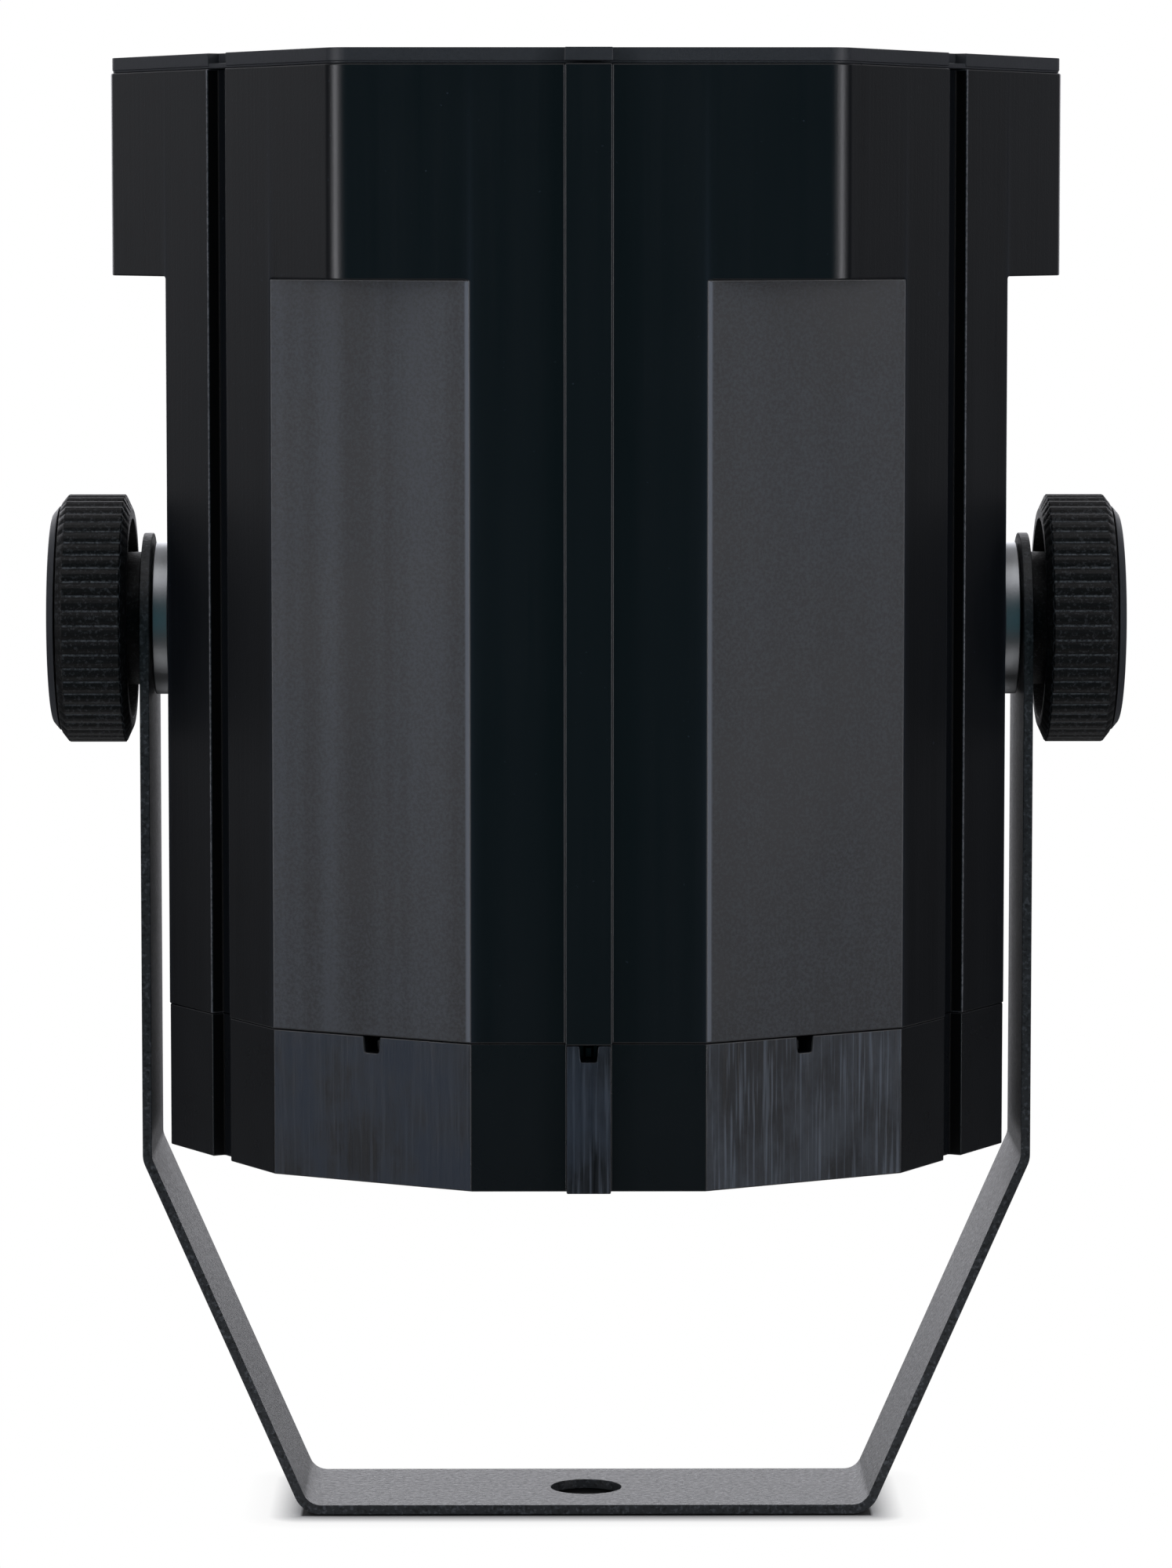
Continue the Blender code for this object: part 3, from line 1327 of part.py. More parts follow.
def fan_rotor():
    """The fan's hub and its seven tilted blades."""
    low = FAN_BOTTOM + FAN_SPOKE_DEPTH + FIT
    high = FAN_TOP - FAN_TIP_GAP
    hub = cylinder("fan_rotor", FAN_HUB_RADIUS, low, high)
    reach = FAN_OPENING_RADIUS - FAN_TIP_GAP
    chord, thickness = FAN_BLADE_CHORD / 2, FAN_BLADE_THICKNESS / 2
    blades = []
    for i in range(FAN_BLADE_COUNT):
        blade = box("blade", (FAN_BLADE_ROOT, -chord, -thickness), (reach, chord, thickness))
        blade.rotation_euler = (math.radians(FAN_BLADE_PITCH_DEG), 0.0, i * math.tau / FAN_BLADE_COUNT)
        blade.location.z = (low + high) / 2
        blades.append(blade)
    bpy.context.view_layer.update()
    join(hub, *blades)
    return finish(hub, dark_plastic())


def heat_sink():
    """The turned base plate with straight fins below it."""
    sink = cylinder("heat_sink", SINK_RADIUS, SINK_BASE_BOTTOM, SINK_TOP, steps=FINE_STEPS)
    fins = []
    for i in range(SINK_FIN_COUNT):
        x = (i - (SINK_FIN_COUNT - 1) / 2) * SINK_FIN_PITCH
        half_length = math.sqrt(SINK_FIN_CIRCLE**2 - x**2)
        fins.append(centred_box("fin", (x, 0.0), SINK_FIN_THICKNESS, 2 * half_length, SINK_FIN_BOTTOM,
                                SINK_BASE_BOTTOM + SINK_BASE_THICKNESS / 2))
    join(sink, *fins)
    notch = radial_block("notch", 90, SINK_RADIUS - WIRE_NOTCH_DEPTH, SINK_RADIUS + CUT_MARGIN,
                         WIRE_NOTCH_WIDTH, SINK_BASE_BOTTOM - CUT_MARGIN, SINK_TOP + CUT_MARGIN)
    holes = [
        screw_hole(polar(angle, CHASSIS_SCREW_CIRCLE), SINK_BASE_BOTTOM - CUT_MARGIN,
                   SINK_TOP + CUT_MARGIN)
        for angle in SHELF_ANGLES
    ]
    cut(sink, notch, *holes)
    return finish(sink, aluminium())


def chassis_screws():
    """The screws that hold the heat sink up against the housing's shelves."""
    seat = SINK_BASE_BOTTOM - FIT
    return screw_circle("chassis_screw", CHASSIS_SCREW_CIRCLE, SHELF_ANGLES, seat, bare_steel())


def led_board():
    board = cylinder("led_board", LED_BOARD_RADIUS, LED_BOARD_BOTTOM, LED_BOARD_TOP)
    return finish(board, aluminium())


def led_emitter():
    low = LED_BOARD_TOP + FIT
    emitter = centred_box("led_emitter", (0.0, 0.0), EMITTER_SIDE, EMITTER_SIDE, low,
                          low + EMITTER_THICKNESS)
    return finish(emitter, yellow_phosphor())


def condenser_holder():
    """The tube that stands on the heat sink and holds the two condenser lenses."""
    ledge_low = CONDENSER_BOTTOM + CONDENSER_LEDGE_LIFT
    ledge_high = ledge_low + CONDENSER_LEDGE_THICKNESS
    bore = CONDENSER_LENS_RADIUS + FIT
    foot_bore = LED_BOARD_RADIUS + 2 * FIT
    profile = [
        (CONDENSER_OUTER_RADIUS, CONDENSER_TOP),
        (CONDENSER_OUTER_RADIUS, CONDENSER_BOTTOM),
        (foot_bore, CONDENSER_BOTTOM),
        (foot_bore, ledge_low),
        (CONDENSER_LEDGE_RADIUS, ledge_low),
        (CONDENSER_LEDGE_RADIUS, ledge_high),
        (bore, ledge_high),
        (bore, CONDENSER_TOP),
    ]
    holder = turned("condenser_holder", profile, FINE_STEPS)
    notch = radial_block("notch", 90, LED_BOARD_RADIUS - CUT_MARGIN, CONDENSER_OUTER_RADIUS + CUT_MARGIN,
                         WIRE_NOTCH_WIDTH, CONDENSER_BOTTOM - CUT_MARGIN,
                         CONDENSER_BOTTOM + CONDENSER_LEDGE_LIFT - CUT_MARGIN)
    cut(holder, notch)
    return finish(holder, black_aluminium(), 30)


def crown(rim_radius, base, height, steps=3):
    """Points of a shallow dome from its edge to its top, as (radius, height)."""
    sphere = (rim_radius**2 + height**2) / (2 * abs(height))
    spread = math.asin(rim_radius / sphere)
    sign = 1.0 if height > 0 else -1.0
    points = []
    for i in range(steps + 1):
        turn = spread * (1 - i / steps)
        points.append((sphere * math.sin(turn), base + sign * (sphere * math.cos(turn) - sphere) + height))
    points[-1] = (0.0, base + height)
    return points


def lens(name, radius, rim, base, upper=0.0, lower=0.0, edge=CONDENSER_EDGE):
    """A round lens with a flat rim, and a dome of the given height above or below."""
    profile = []
    if upper:
        profile += crown(radius - edge, base + rim, upper)[::-1]
    else:
        profile.append((0.0, base + rim))
    profile += [(radius, base + rim), (radius, base)]
    if lower:
        profile += crown(radius - edge, base, -lower)
    else:
        profile.append((0.0, base))
    return finish(turned(name, profile, PLAIN_STEPS), clear_glass(), 30)


def condenser_spacer():
    """The ring that keeps the two condenser lenses apart."""
    low = LOWER_LENS_BOTTOM + CONDENSER_RIM + FIT
    high = UPPER_LENS_BOTTOM - FIT
    inner = CONDENSER_LENS_RADIUS - FIT * 3
    outer = CONDENSER_LENS_RADIUS
    ring = turned("condenser_spacer", [(outer, high), (outer, low), (inner, low), (inner, high)])
    return finish(ring, black_aluminium(), 30)


def gobo_gate():
    """The guide between condenser and objective that the gobo holder slides in."""
    back = CAVITY_APOTHEM
    gate = box("gobo_gate", (-GATE_HALF_WIDTH, -GATE_FRONT, GATE_BOTTOM), (GATE_HALF_WIDTH, back, GATE_TOP))
    room = prism("room", regular_outline(12, CAVITY_APOTHEM - FIT), GATE_BOTTOM - CUT_MARGIN,
                 GATE_TOP + CUT_MARGIN)
    combine(gate, [room], "INTERSECT")
    half = HOLDER_HALF_WIDTH + FIT
    channel = box("channel", (-half, -HOLDER_FRONT - FIT, GATE_SLOT_BOTTOM),
                  (half, back + CUT_MARGIN, GATE_SLOT_TOP))
    aperture = cylinder("aperture", GATE_APERTURE_RADIUS, GATE_BOTTOM - CUT_MARGIN, GATE_TOP + CUT_MARGIN)
    cut(gate, channel, aperture)
    return finish(gate, black_aluminium())


def gobo_holder():
    """The slide that carries the gobo, with a pull tab that lies flush with the back rib."""
    back = BODY_APOTHEM + FIT
    slide = box("gobo_holder", (-HOLDER_HALF_WIDTH, -HOLDER_FRONT, HOLDER_BOTTOM),
                (HOLDER_HALF_WIDTH, back + HOLDER_TAB_THICKNESS, HOLDER_TOP))
    seat = cylinder("seat", GOBO_RADIUS + FIT, HOLDER_BOTTOM + GOBO_LEDGE, HOLDER_TOP + CUT_MARGIN)
    window = cylinder("window", GOBO_IMAGE_RADIUS, HOLDER_BOTTOM - CUT_MARGIN, HOLDER_TOP + CUT_MARGIN)
    cut(slide, seat, window)
    return finish(slide, black_aluminium())


def gobo_disc():
    """The pattern disc: a ring of round holes about a middle hole."""
    low = HOLDER_BOTTOM + GOBO_LEDGE + FIT
    high = low + GOBO_THICKNESS
    disc = cylinder("gobo_disc", GOBO_RADIUS, low, high)
    cutters = [cylinder("dot", GOBO_CENTRE_RADIUS, low - CUT_MARGIN, high + CUT_MARGIN, steps=SMALL_STEPS)]
    for i in range(GOBO_DOT_COUNT):
        at = polar(i * 360 / GOBO_DOT_COUNT, GOBO_DOT_CIRCLE)
        cutters.append(cylinder("dot", GOBO_DOT_RADIUS, low - CUT_MARGIN, high + CUT_MARGIN, at, SMALL_STEPS))
    cut(disc, *cutters)
    return finish(disc, bare_steel())


def gobo_clip():
    """The open spring ring that keeps the disc in the holder."""
    low = HOLDER_BOTTOM + GOBO_LEDGE + GOBO_THICKNESS + 2 * FIT
    high = low + CLIP_THICKNESS
    outer = GOBO_RADIUS
    inner = outer - CLIP_WIDTH
    ring = turned("gobo_clip", [(outer, high), (outer, low), (inner, low), (inner, high)])
    half_gap = CLIP_GAP / 2
    gap = box(
        "gap", (-half_gap, 0.0, low - CUT_MARGIN), (half_gap, outer + CUT_MARGIN, high + CUT_MARGIN)
    )
    cut(ring, gap)
    return finish(ring, bare_steel())


def lens_mount_tube():
    """The fixed outer tube of the objective, standing on the gate."""
    bore = LENS_TUBE_RADIUS + FIT
    shoulder = MOUNT_BOTTOM + MOUNT_FLANGE_THICKNESS
    profile = [
        (MOUNT_OUTER_RADIUS, MOUNT_TOP),
        (MOUNT_OUTER_RADIUS, shoulder),
        (MOUNT_FLANGE_RADIUS, shoulder),
        (MOUNT_FLANGE_RADIUS, MOUNT_BOTTOM),
        (bore, MOUNT_BOTTOM),
        (bore, MOUNT_TOP),
    ]
    return finish(turned("lens_mount_tube", profile, FINE_STEPS), black_aluminium(), 30)


def focus_ring():
    """The ring in the bezel whose inner thread drives the lens tube."""
    top = BEZEL_TOP - RING_BELOW_BEZEL_TOP
    profile = [
        (RING_COLLAR_RADIUS, top),
        (RING_COLLAR_RADIUS, RING_FLANGE_TOP),
        (RING_FLANGE_RADIUS, RING_FLANGE_TOP),
        (RING_FLANGE_RADIUS, RING_FLANGE_BOTTOM),
        (LENS_TUBE_RADIUS, RING_FLANGE_BOTTOM),
        (LENS_TUBE_RADIUS, RING_SKIRT_BOTTOM),
        (RING_BORE_RADIUS, RING_SKIRT_BOTTOM),
        (RING_BORE_RADIUS, top),
    ]
    ring = turned("focus_ring", profile, FINE_STEPS)
    notches = [
        cylinder("notch", RING_NOTCH_RADIUS, top - RING_NOTCH_DEPTH, top + CUT_MARGIN,
                 polar(i * 360 / RING_NOTCH_COUNT, RING_BORE_RADIUS), SMALL_STEPS)
        for i in range(RING_NOTCH_COUNT)
    ]
    cut(ring, *notches)
    return finish(ring, dark_plastic())


def lens_tube():
    """The sliding tube with the rear lens in its foot and the front lens in its neck."""
    rear_bore = LENS_TUBE_RADIUS - LENS_TUBE_WALL
    rear_ledge = LENS_TUBE_BOTTOM + REAR_LENS_RIM + 4 * FIT
    front_ledge = LENS_NECK_TOP - FRONT_LENS_BELOW_TOP
    profile = [
        (LENS_NECK_RADIUS, LENS_NECK_TOP),
        (LENS_NECK_RADIUS, LENS_NECK_BOTTOM),
        (LENS_TUBE_RADIUS, LENS_NECK_BOTTOM),
        (LENS_TUBE_RADIUS, LENS_TUBE_BOTTOM),
        (rear_bore, LENS_TUBE_BOTTOM),
        (rear_bore, rear_ledge),
        (LENS_LEDGE_RADIUS, rear_ledge),
        (LENS_LEDGE_RADIUS, front_ledge),
        (LENS_NECK_BORE, front_ledge),
        (LENS_NECK_BORE, LENS_NECK_TOP),
    ]
    return finish(turned("lens_tube", profile, FINE_STEPS), black_aluminium(), 30)


def rear_lens():
    radius = LENS_TUBE_RADIUS - LENS_TUBE_WALL - FIT
    base = LENS_TUBE_BOTTOM + 3 * FIT
    return lens("rear_lens", radius, REAR_LENS_RIM, base, lower=REAR_LENS_CROWN, edge=REAR_LENS_EDGE)


def front_lens():
    radius = LENS_NECK_BORE - FIT
    base = LENS_NECK_TOP - FRONT_LENS_BELOW_TOP + FIT
    return lens("front_lens", radius, FRONT_LENS_RIM, base, upper=FRONT_LENS_CROWN, edge=FRONT_LENS_EDGE)


def lens_retainer():
    """The ring that keeps the front lens in the neck."""
    low = LENS_NECK_TOP - FRONT_LENS_BELOW_TOP + FRONT_LENS_RIM + 2 * FIT
    high = low + RETAINER_HEIGHT
    outer = LENS_NECK_BORE - FIT
    inner = outer - RETAINER_WIDTH
    ring = turned("lens_retainer", [(outer, high), (outer, low), (inner, low), (inner, high)], FINE_STEPS)
    return finish(ring, black_aluminium(), 30)


def led_lead():
    """The two-core lead from the driver board, through the notches, to the LED board."""
    side = SINK_RADIUS - WIRE_NOTCH_DEPTH / 2
    level = LED_BOARD_BOTTOM + LED_LEAD_RADIUS + FIT
    route = [
        (side, 0.0, DRIVER_BOARD_TOP + FIT),
        (side, 0.0, DRIVER_BOARD_TOP + LED_LEAD_RISE),
        (side, 0.0, SINK_BASE_BOTTOM - LED_LEAD_BELOW_SINK),
        (side, 0.0, SINK_TOP - LED_LEAD_BELOW_NOTCH_TOP),
        (side - LED_LEAD_BEND, 0.0, level + LED_LEAD_BEND_LIFT),
        (CONDENSER_OUTER_RADIUS + LED_LEAD_HOLDER_SPACE, 0.0, level + LED_LEAD_SAG),
        (LED_BOARD_RADIUS + FIT, 0.0, level),
    ]
    return finish(lead("led_lead", route, LED_LEAD_RADIUS), lead_jacket(), 60)


def fan_lead():
    """The lead from the fan frame down to the driver board."""
    start = FAN_SIDE / 2 + FIT
    middle = FAN_BOTTOM + FAN_DEPTH / 2
    route = [
        (start, FAN_LEAD_Y, middle),
        (start + FAN_LEAD_REACH, FAN_LEAD_Y, middle),
        (start + FAN_LEAD_BEND, FAN_LEAD_Y / 2, FAN_BOTTOM + FAN_LEAD_BEND_HEIGHT),
        (start + FAN_LEAD_END, 0.0, DRIVER_BOARD_TOP + FIT),
    ]
    return finish(lead("fan_lead", route, FAN_LEAD_RADIUS), lead_jacket(), 60)


def carry(name, place, pieces):
    """An empty on a moving group's axis, with the group's pieces as its children."""
    empty = bpy.data.objects.new(name, None)
    empty.location = place
    empty.empty_display_size = 0.01
    PARTS.objects.link(empty)
    bpy.context.view_layer.update()
    for piece in pieces:
        piece.parent = empty
        piece.matrix_parent_inverse = empty.matrix_world.inverted()
    return empty


def yoke_group():
    pieces = [yoke_bracket()]
    for side_name, side in (("left", -1), ("right", 1)):
        pieces.append(friction_washer(side_name, side))
    return carry("yoke", (0.0, 0.0, 0.0), pieces)


def knob_group(side_name, side):
    pieces = [knob_grip(side_name, side), knob_cap(side_name, side), knob_stud(side_name, side)]
    return carry("knob_" + side_name, (side * ARM_OUTER, 0.0, PIVOT_HEIGHT), pieces)


def casing_pieces():
    return [
        main_housing(),
        front_bezel(),
        *bezel_screws(),
        rear_cap(),
        rear_panel(),
        *panel_screws(),
        pivot_insert("left", -1),
        pivot_insert("right", 1),
    ]


def panel_pieces():
    return [
        power_inlet(),
        dmx_in_socket(),
        dmx_out_socket(),
        display_window(),
        display_module(),
        driver_board(),
    ]


def light_pieces():
    return [
        fan_frame(),
        heat_sink(),
        *chassis_screws(),
        led_board(),
        led_emitter(),
        condenser_holder(),
        lens("condenser_lens_lower", CONDENSER_LENS_RADIUS, CONDENSER_RIM, LOWER_LENS_BOTTOM,
             upper=CONDENSER_CROWN - FIT),
        condenser_spacer(),
        lens("condenser_lens_upper", CONDENSER_LENS_RADIUS, CONDENSER_RIM, UPPER_LENS_BOTTOM,
             lower=CONDENSER_CROWN - FIT),
        gobo_gate(),
        lens_mount_tube(),
        led_lead(),
        fan_lead(),
    ]


def moving_groups():
    """The groups that move in the housing, each under an empty on its own axis."""
    axis = (0.0, 0.0, 0.0)
    groups = [
        carry("focus", axis, [focus_ring()]),
        carry("objective", axis, [lens_tube(), rear_lens(), front_lens(), lens_retainer()]),
        carry("gobo_slide", (0.0, 0.0, HOLDER_BOTTOM), [gobo_holder(), gobo_disc(), gobo_clip()]),
        carry("fan", (0.0, 0.0, FAN_BOTTOM), [fan_rotor()]),
        carry("fuse_slide", (0.0, INLET_Y - DRAWER_OFFSET, PANEL_OUTER_FACE), [fuse_drawer(), fuse()]),
    ]
    for number, at in enumerate(button_places(), 1):
        groups.append(carry(f"button_{number}", (*at, PANEL_OUTER_FACE), [menu_button(number, at)]))
    return groups


def build():
    clear_scene()
    yoke = yoke_group()
    head = carry("head", (0.0, 0.0, PIVOT_HEIGHT), casing_pieces() + panel_pieces() + light_pieces())
    groups = moving_groups() + [knob_group("left", -1), knob_group("right", 1)]
    for empty in groups:
        empty.parent = head
        empty.matrix_parent_inverse = head.matrix_world.inverted()
    head.parent = yoke
    bpy.context.view_layer.update()


build()
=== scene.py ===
"""Looks of the compact LED gobo projector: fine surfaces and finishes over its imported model.

Run it in Blender 4.5. Sizes are in metres, in the model's own frame: +Z is up and out of the
lens, +Y is the back and +X is the right, seen from the front.
"""

import json
import math

import bmesh
import bpy
from bpy.props import FloatProperty, FloatVectorProperty, IntProperty, PointerProperty
from bpy.types import Operator, Panel, PropertyGroup
from mathutils import Matrix, Vector


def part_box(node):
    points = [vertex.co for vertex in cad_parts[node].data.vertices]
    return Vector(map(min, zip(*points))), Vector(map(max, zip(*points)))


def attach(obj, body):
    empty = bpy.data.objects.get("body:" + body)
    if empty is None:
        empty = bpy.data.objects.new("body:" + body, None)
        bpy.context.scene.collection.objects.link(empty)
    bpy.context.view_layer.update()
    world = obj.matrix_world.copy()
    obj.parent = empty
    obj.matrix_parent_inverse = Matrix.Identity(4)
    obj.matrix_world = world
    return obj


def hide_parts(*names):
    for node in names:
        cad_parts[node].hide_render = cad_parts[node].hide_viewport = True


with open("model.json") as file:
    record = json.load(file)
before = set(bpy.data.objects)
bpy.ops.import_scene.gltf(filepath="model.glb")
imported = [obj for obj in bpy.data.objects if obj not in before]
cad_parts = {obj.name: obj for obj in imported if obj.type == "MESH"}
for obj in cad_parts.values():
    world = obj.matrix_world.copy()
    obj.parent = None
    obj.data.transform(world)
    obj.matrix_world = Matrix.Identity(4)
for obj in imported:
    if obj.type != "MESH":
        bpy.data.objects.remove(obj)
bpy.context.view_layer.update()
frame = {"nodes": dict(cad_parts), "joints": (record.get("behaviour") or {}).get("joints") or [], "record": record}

bl_info = {
    "name": "Gobo projector",
    "version": (1, 0, 0),
    "blender": (4, 5, 0),
    "location": "3D View > Sidebar > Projector",
    "description": "Builds the fine surfaces and finishes of a compact LED gobo projector",
    "category": "Object",
}

GAP = 0.0003
OVERSHOOT = 0.001
DOUBLES = 0.000002
FINE_EDGE = 0.0002
FRONT_RIBS = (0, 180)
SIDE_GROOVES = (60, 120, 240, 300)
SNAP_ANGLES = (0, 30, 150, 180, 210, 330)
PANEL_ANGLES = range(30, 360, 60)
SIDES = {"left": -1, "right": 1}
PIVOT = next(j for j in frame["joints"] if j["name"] == "head_tilt")["pos_m"][2]


def low_of(node):
    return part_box(node)[0]


def high_of(node):
    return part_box(node)[1]


def numbered(kind):
    """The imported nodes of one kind, which end in _1, _2 and so on."""
    return sorted(node for node in frame["nodes"] if node.rpartition("_")[0] == kind)


def length(description, default):
    """A length in metres that the panel shows to a hundredth of a millimetre."""
    return FloatProperty(
        description=description, default=default, unit="LENGTH", precision=5, min=0.0
    )


def tint(description, hex_colour):
    """A colour property, written as six hexadecimal digits."""
    return FloatVectorProperty(
        description=description, subtype="COLOR", size=4, min=0.0, max=1.0,
        default=linear(hex_colour),
    )


def linear(hex_colour):
    """Six hexadecimal digits as linear RGBA."""
    channels = [int(hex_colour[i : i + 2], 16) / 255 for i in (0, 2, 4)]
    bright = [c / 12.92 if c <= 0.04045 else ((c + 0.055) / 1.055) ** 2.4 for c in channels]
    return (*bright, 1.0)


class HousingSizes(PropertyGroup):
    apothem: length("Optical axis to a main side", 0.0662)
    wall: length("Thickness of the moulded shell", 0.0040)
    rib_width: length("Width of the front and back ribs", 0.0071)
    rib_height: length("How far the ribs stand out", 0.0024)
    groove_width: length("Width of the side grooves", 0.0060)
    groove_depth: length("Depth of the side grooves", 0.0020)
    seam: length("Height of the joint between body and rear cap", 0.0832)
    head_underside: length("Height where the six-sided head begins", 0.1982)
    corner_radius: length("Radius of the head's corners", 0.0040)
    edge: length("Rounding of the moulded edges", 0.00025)
    cap_setback: length("How far the cap and the bezel stay inside the body", 0.0002)
    cap_rib_width: length("Width of the ribs on the rear cap", 0.0067)
    window_width: length("Width of a snap window at its top", 0.0030)
    window_foot: length("Width of a snap window at its foot", 0.0024)
    window_height: length("Height of a snap window", 0.0025)


class YokeSizes(PropertyGroup):
    strap_width: length("Width of the flat strap", 0.0290)
    strap_thickness: length("Thickness of the flat strap", 0.0015)
    base_half_width: length("Middle to the base's outer corner", 0.0456)
    bend_height: length("Height of the upper bends", 0.0574)
    bend_radius: length("Outer radius of each bend", 0.0045)
    bolt_hole: length("Radius of the clamp bolt's hole", 0.00575)
    stud_hole: length("Radius of the holes for the knob studs", 0.0042)
    edge: length("Rounding of the strap's edges", 0.00014)


class KnobSizes(PropertyGroup):
    rib_count: IntProperty(description="Ribs round a knob", default=52, min=8)
    rib_depth: length("Depth between the ribs", 0.00055)
    rib_crown: length("How far each rib falls away beside its crest", 0.00013)
    chamfer: length("Length of the chamfer at each end", 0.0011)
    back_radius: length("Radius at the back of the grip", 0.0175)
    front_radius: length("Radius at the front of the grip", 0.0185)
    cavity_radius: length("Outer radius of the hollow behind the grip", 0.0160)
    cavity_depth: length("Depth of the hollow behind the grip", 0.0070)
    hub_radius: length("Radius of the hub and neck", 0.01065)
    disc_radius: length("Radius of the end disc's flat", 0.0167)


class OpticsSizes(PropertyGroup):
    neck_bore: length("Bore in front of the front lens", 0.0240)
    collar_radius: length("Outer radius of the ring in the bezel", 0.0318)
    notch_radius: length("Radius of the finger notches in the ring", 0.0014)
    notch_depth: length("Depth of the finger notches", 0.0030)
    notch_count: IntProperty(description="Notches round the ring", default=12, min=1)


class FinishColours(PropertyGroup):
    housing: tint("Smooth black plastic of the housing", "0a0d11")
    panels: tint("Grained plastic of the set-back panels", "2c2f34")
    cap: tint("Plastic of the rear cap", "111316")
    knobs: tint("Grained plastic of the clamp knobs", "0c0d0e")
    yoke: tint("Powder coat of the strap", "2a2c2f")
    washers: tint("Metal of the washers", "aeb0b2")
    bezel: tint("Plastic of the front bezel", "303236")


class StageSettings(PropertyGroup):
    fill: FloatProperty(description="Brightness of the surroundings", default=3.3, min=0.0)
    lean: FloatProperty(
        description="How much brighter the left is than the right", default=0.35, min=0.0
    )
    top_light: FloatProperty(
        description="Power of the lamp above, in watts", default=3.0, min=0.0
    )


class ProjectorSettings(PropertyGroup):
    housing: PointerProperty(type=HousingSizes)
    yoke: PointerProperty(type=YokeSizes)
    knobs: PointerProperty(type=KnobSizes)
    optics: PointerProperty(type=OpticsSizes)
    colours: PointerProperty(type=FinishColours)
    stage: PointerProperty(type=StageSettings)


def settings():
    return bpy.context.scene.gobo_projector


# Modelling


def begin():
    """Object mode with nothing selected."""
    if bpy.context.mode != "OBJECT":
        end_edit()
    bpy.ops.object.select_all(action="DESELECT")


def only(piece):
    """Makes this the one selected object."""
    begin()
    piece.select_set(True)
    bpy.context.view_layer.objects.active = piece
    return piece


def named(name):
    """Names the new primitive and applies its place to its mesh."""
    piece = bpy.context.active_object
    piece.name = name
    piece.data.name = name
    bpy.ops.object.transform_apply(location=True, rotation=True, scale=True)
    return piece


def cylinder(name, radius, low, high, at=(0.0, 0.0), sides=64, turn=0.0, caps="NGON"):
    """An upright cylinder or prism between two heights."""
    begin()
    bpy.ops.mesh.primitive_cylinder_add(
        vertices=sides, radius=radius, depth=high - low, end_fill_type=caps,
        location=(at[0], at[1], (low + high) / 2), rotation=(0.0, 0.0, turn),
    )
    return named(name)


def block(name, low, high):
    """A block between two opposite corners."""
    low, high = Vector(low), Vector(high)
    begin()
    bpy.ops.mesh.primitive_cube_add(size=1.0, location=(low + high) / 2, scale=high - low)
    return named(name)


def facing(angle):
    """The directions out of and along a side that faces this many degrees from the front."""
    turn = math.radians(angle)
    return (
        Vector((math.sin(turn), -math.cos(turn), 0.0)),
        Vector((math.cos(turn), math.sin(turn), 0.0)),
    )


def pick(piece, kind, test):
    """Selects the faces, edges or vertices that pass the test, in edit mode, and counts them."""
    if bpy.context.mode != "EDIT_MESH":
        only(piece)
        bpy.ops.object.mode_set(mode="EDIT")
    bpy.ops.mesh.select_mode(type=kind)
    bpy.ops.mesh.select_all(action="DESELECT")
    mesh = bmesh.from_edit_mesh(piece.data)
    items = {"FACE": mesh.faces, "EDGE": mesh.edges, "VERT": mesh.verts}[kind]
    found = 0
    for item in items:
        if test(item):
            item.select_set(True)
            found += 1
    mesh.select_flush_mode()
    bmesh.update_edit_mesh(piece.data)
    return found


def require(found, what):
    """Stops the build if nothing was selected where something has to be."""
    if not found:
        raise RuntimeError(f"nothing was found to select: {what}")


def faces_out(direction):
    """A test for faces that face this way."""
    return lambda face: (face.normal - direction).length < 0.01


def anything(item):
    return True


def upright(edge):
    return abs(edge.verts[0].co.z - edge.verts[1].co.z) > 0.0003


def end_edit():
    bpy.ops.object.mode_set(mode="OBJECT")


def weld(piece, angle):
    """Merges doubled points and dissolves edges that turn by less than the angle."""
    pick(piece, "VERT", anything)
    bpy.ops.mesh.remove_doubles(threshold=DOUBLES)
    bpy.ops.mesh.select_all(action="SELECT")
    bpy.ops.mesh.dissolve_limited(angle_limit=math.radians(angle))
    end_edit()


def round_uprights(piece, offset, segments):
    """Rounds the upright edges of a prism."""
    require(pick(piece, "EDGE", upright), "upright edges")
    bpy.ops.mesh.bevel(offset=offset, segments=segments, clamp_overlap=False)


def step_strip(piece, angle, width, height):
    """Raises or sinks an upright strip in the middle of one side."""
    outward, along = facing(angle)
    for sign in (-1, 1):
        require(pick(piece, "FACE", faces_out(outward)), f"side at {angle} degrees")
        bpy.ops.mesh.bisect(plane_co=along * sign * width / 2, plane_no=along)
    faces_outward = faces_out(outward)
    middle = pick(
        piece, "FACE",
        lambda f: faces_outward(f) and abs(f.calc_center_median().dot(along)) < width / 4,
    )
    require(middle, f"strip at {angle} degrees")
    bpy.ops.mesh.extrude_region_move(TRANSFORM_OT_translate={"value": outward * height})


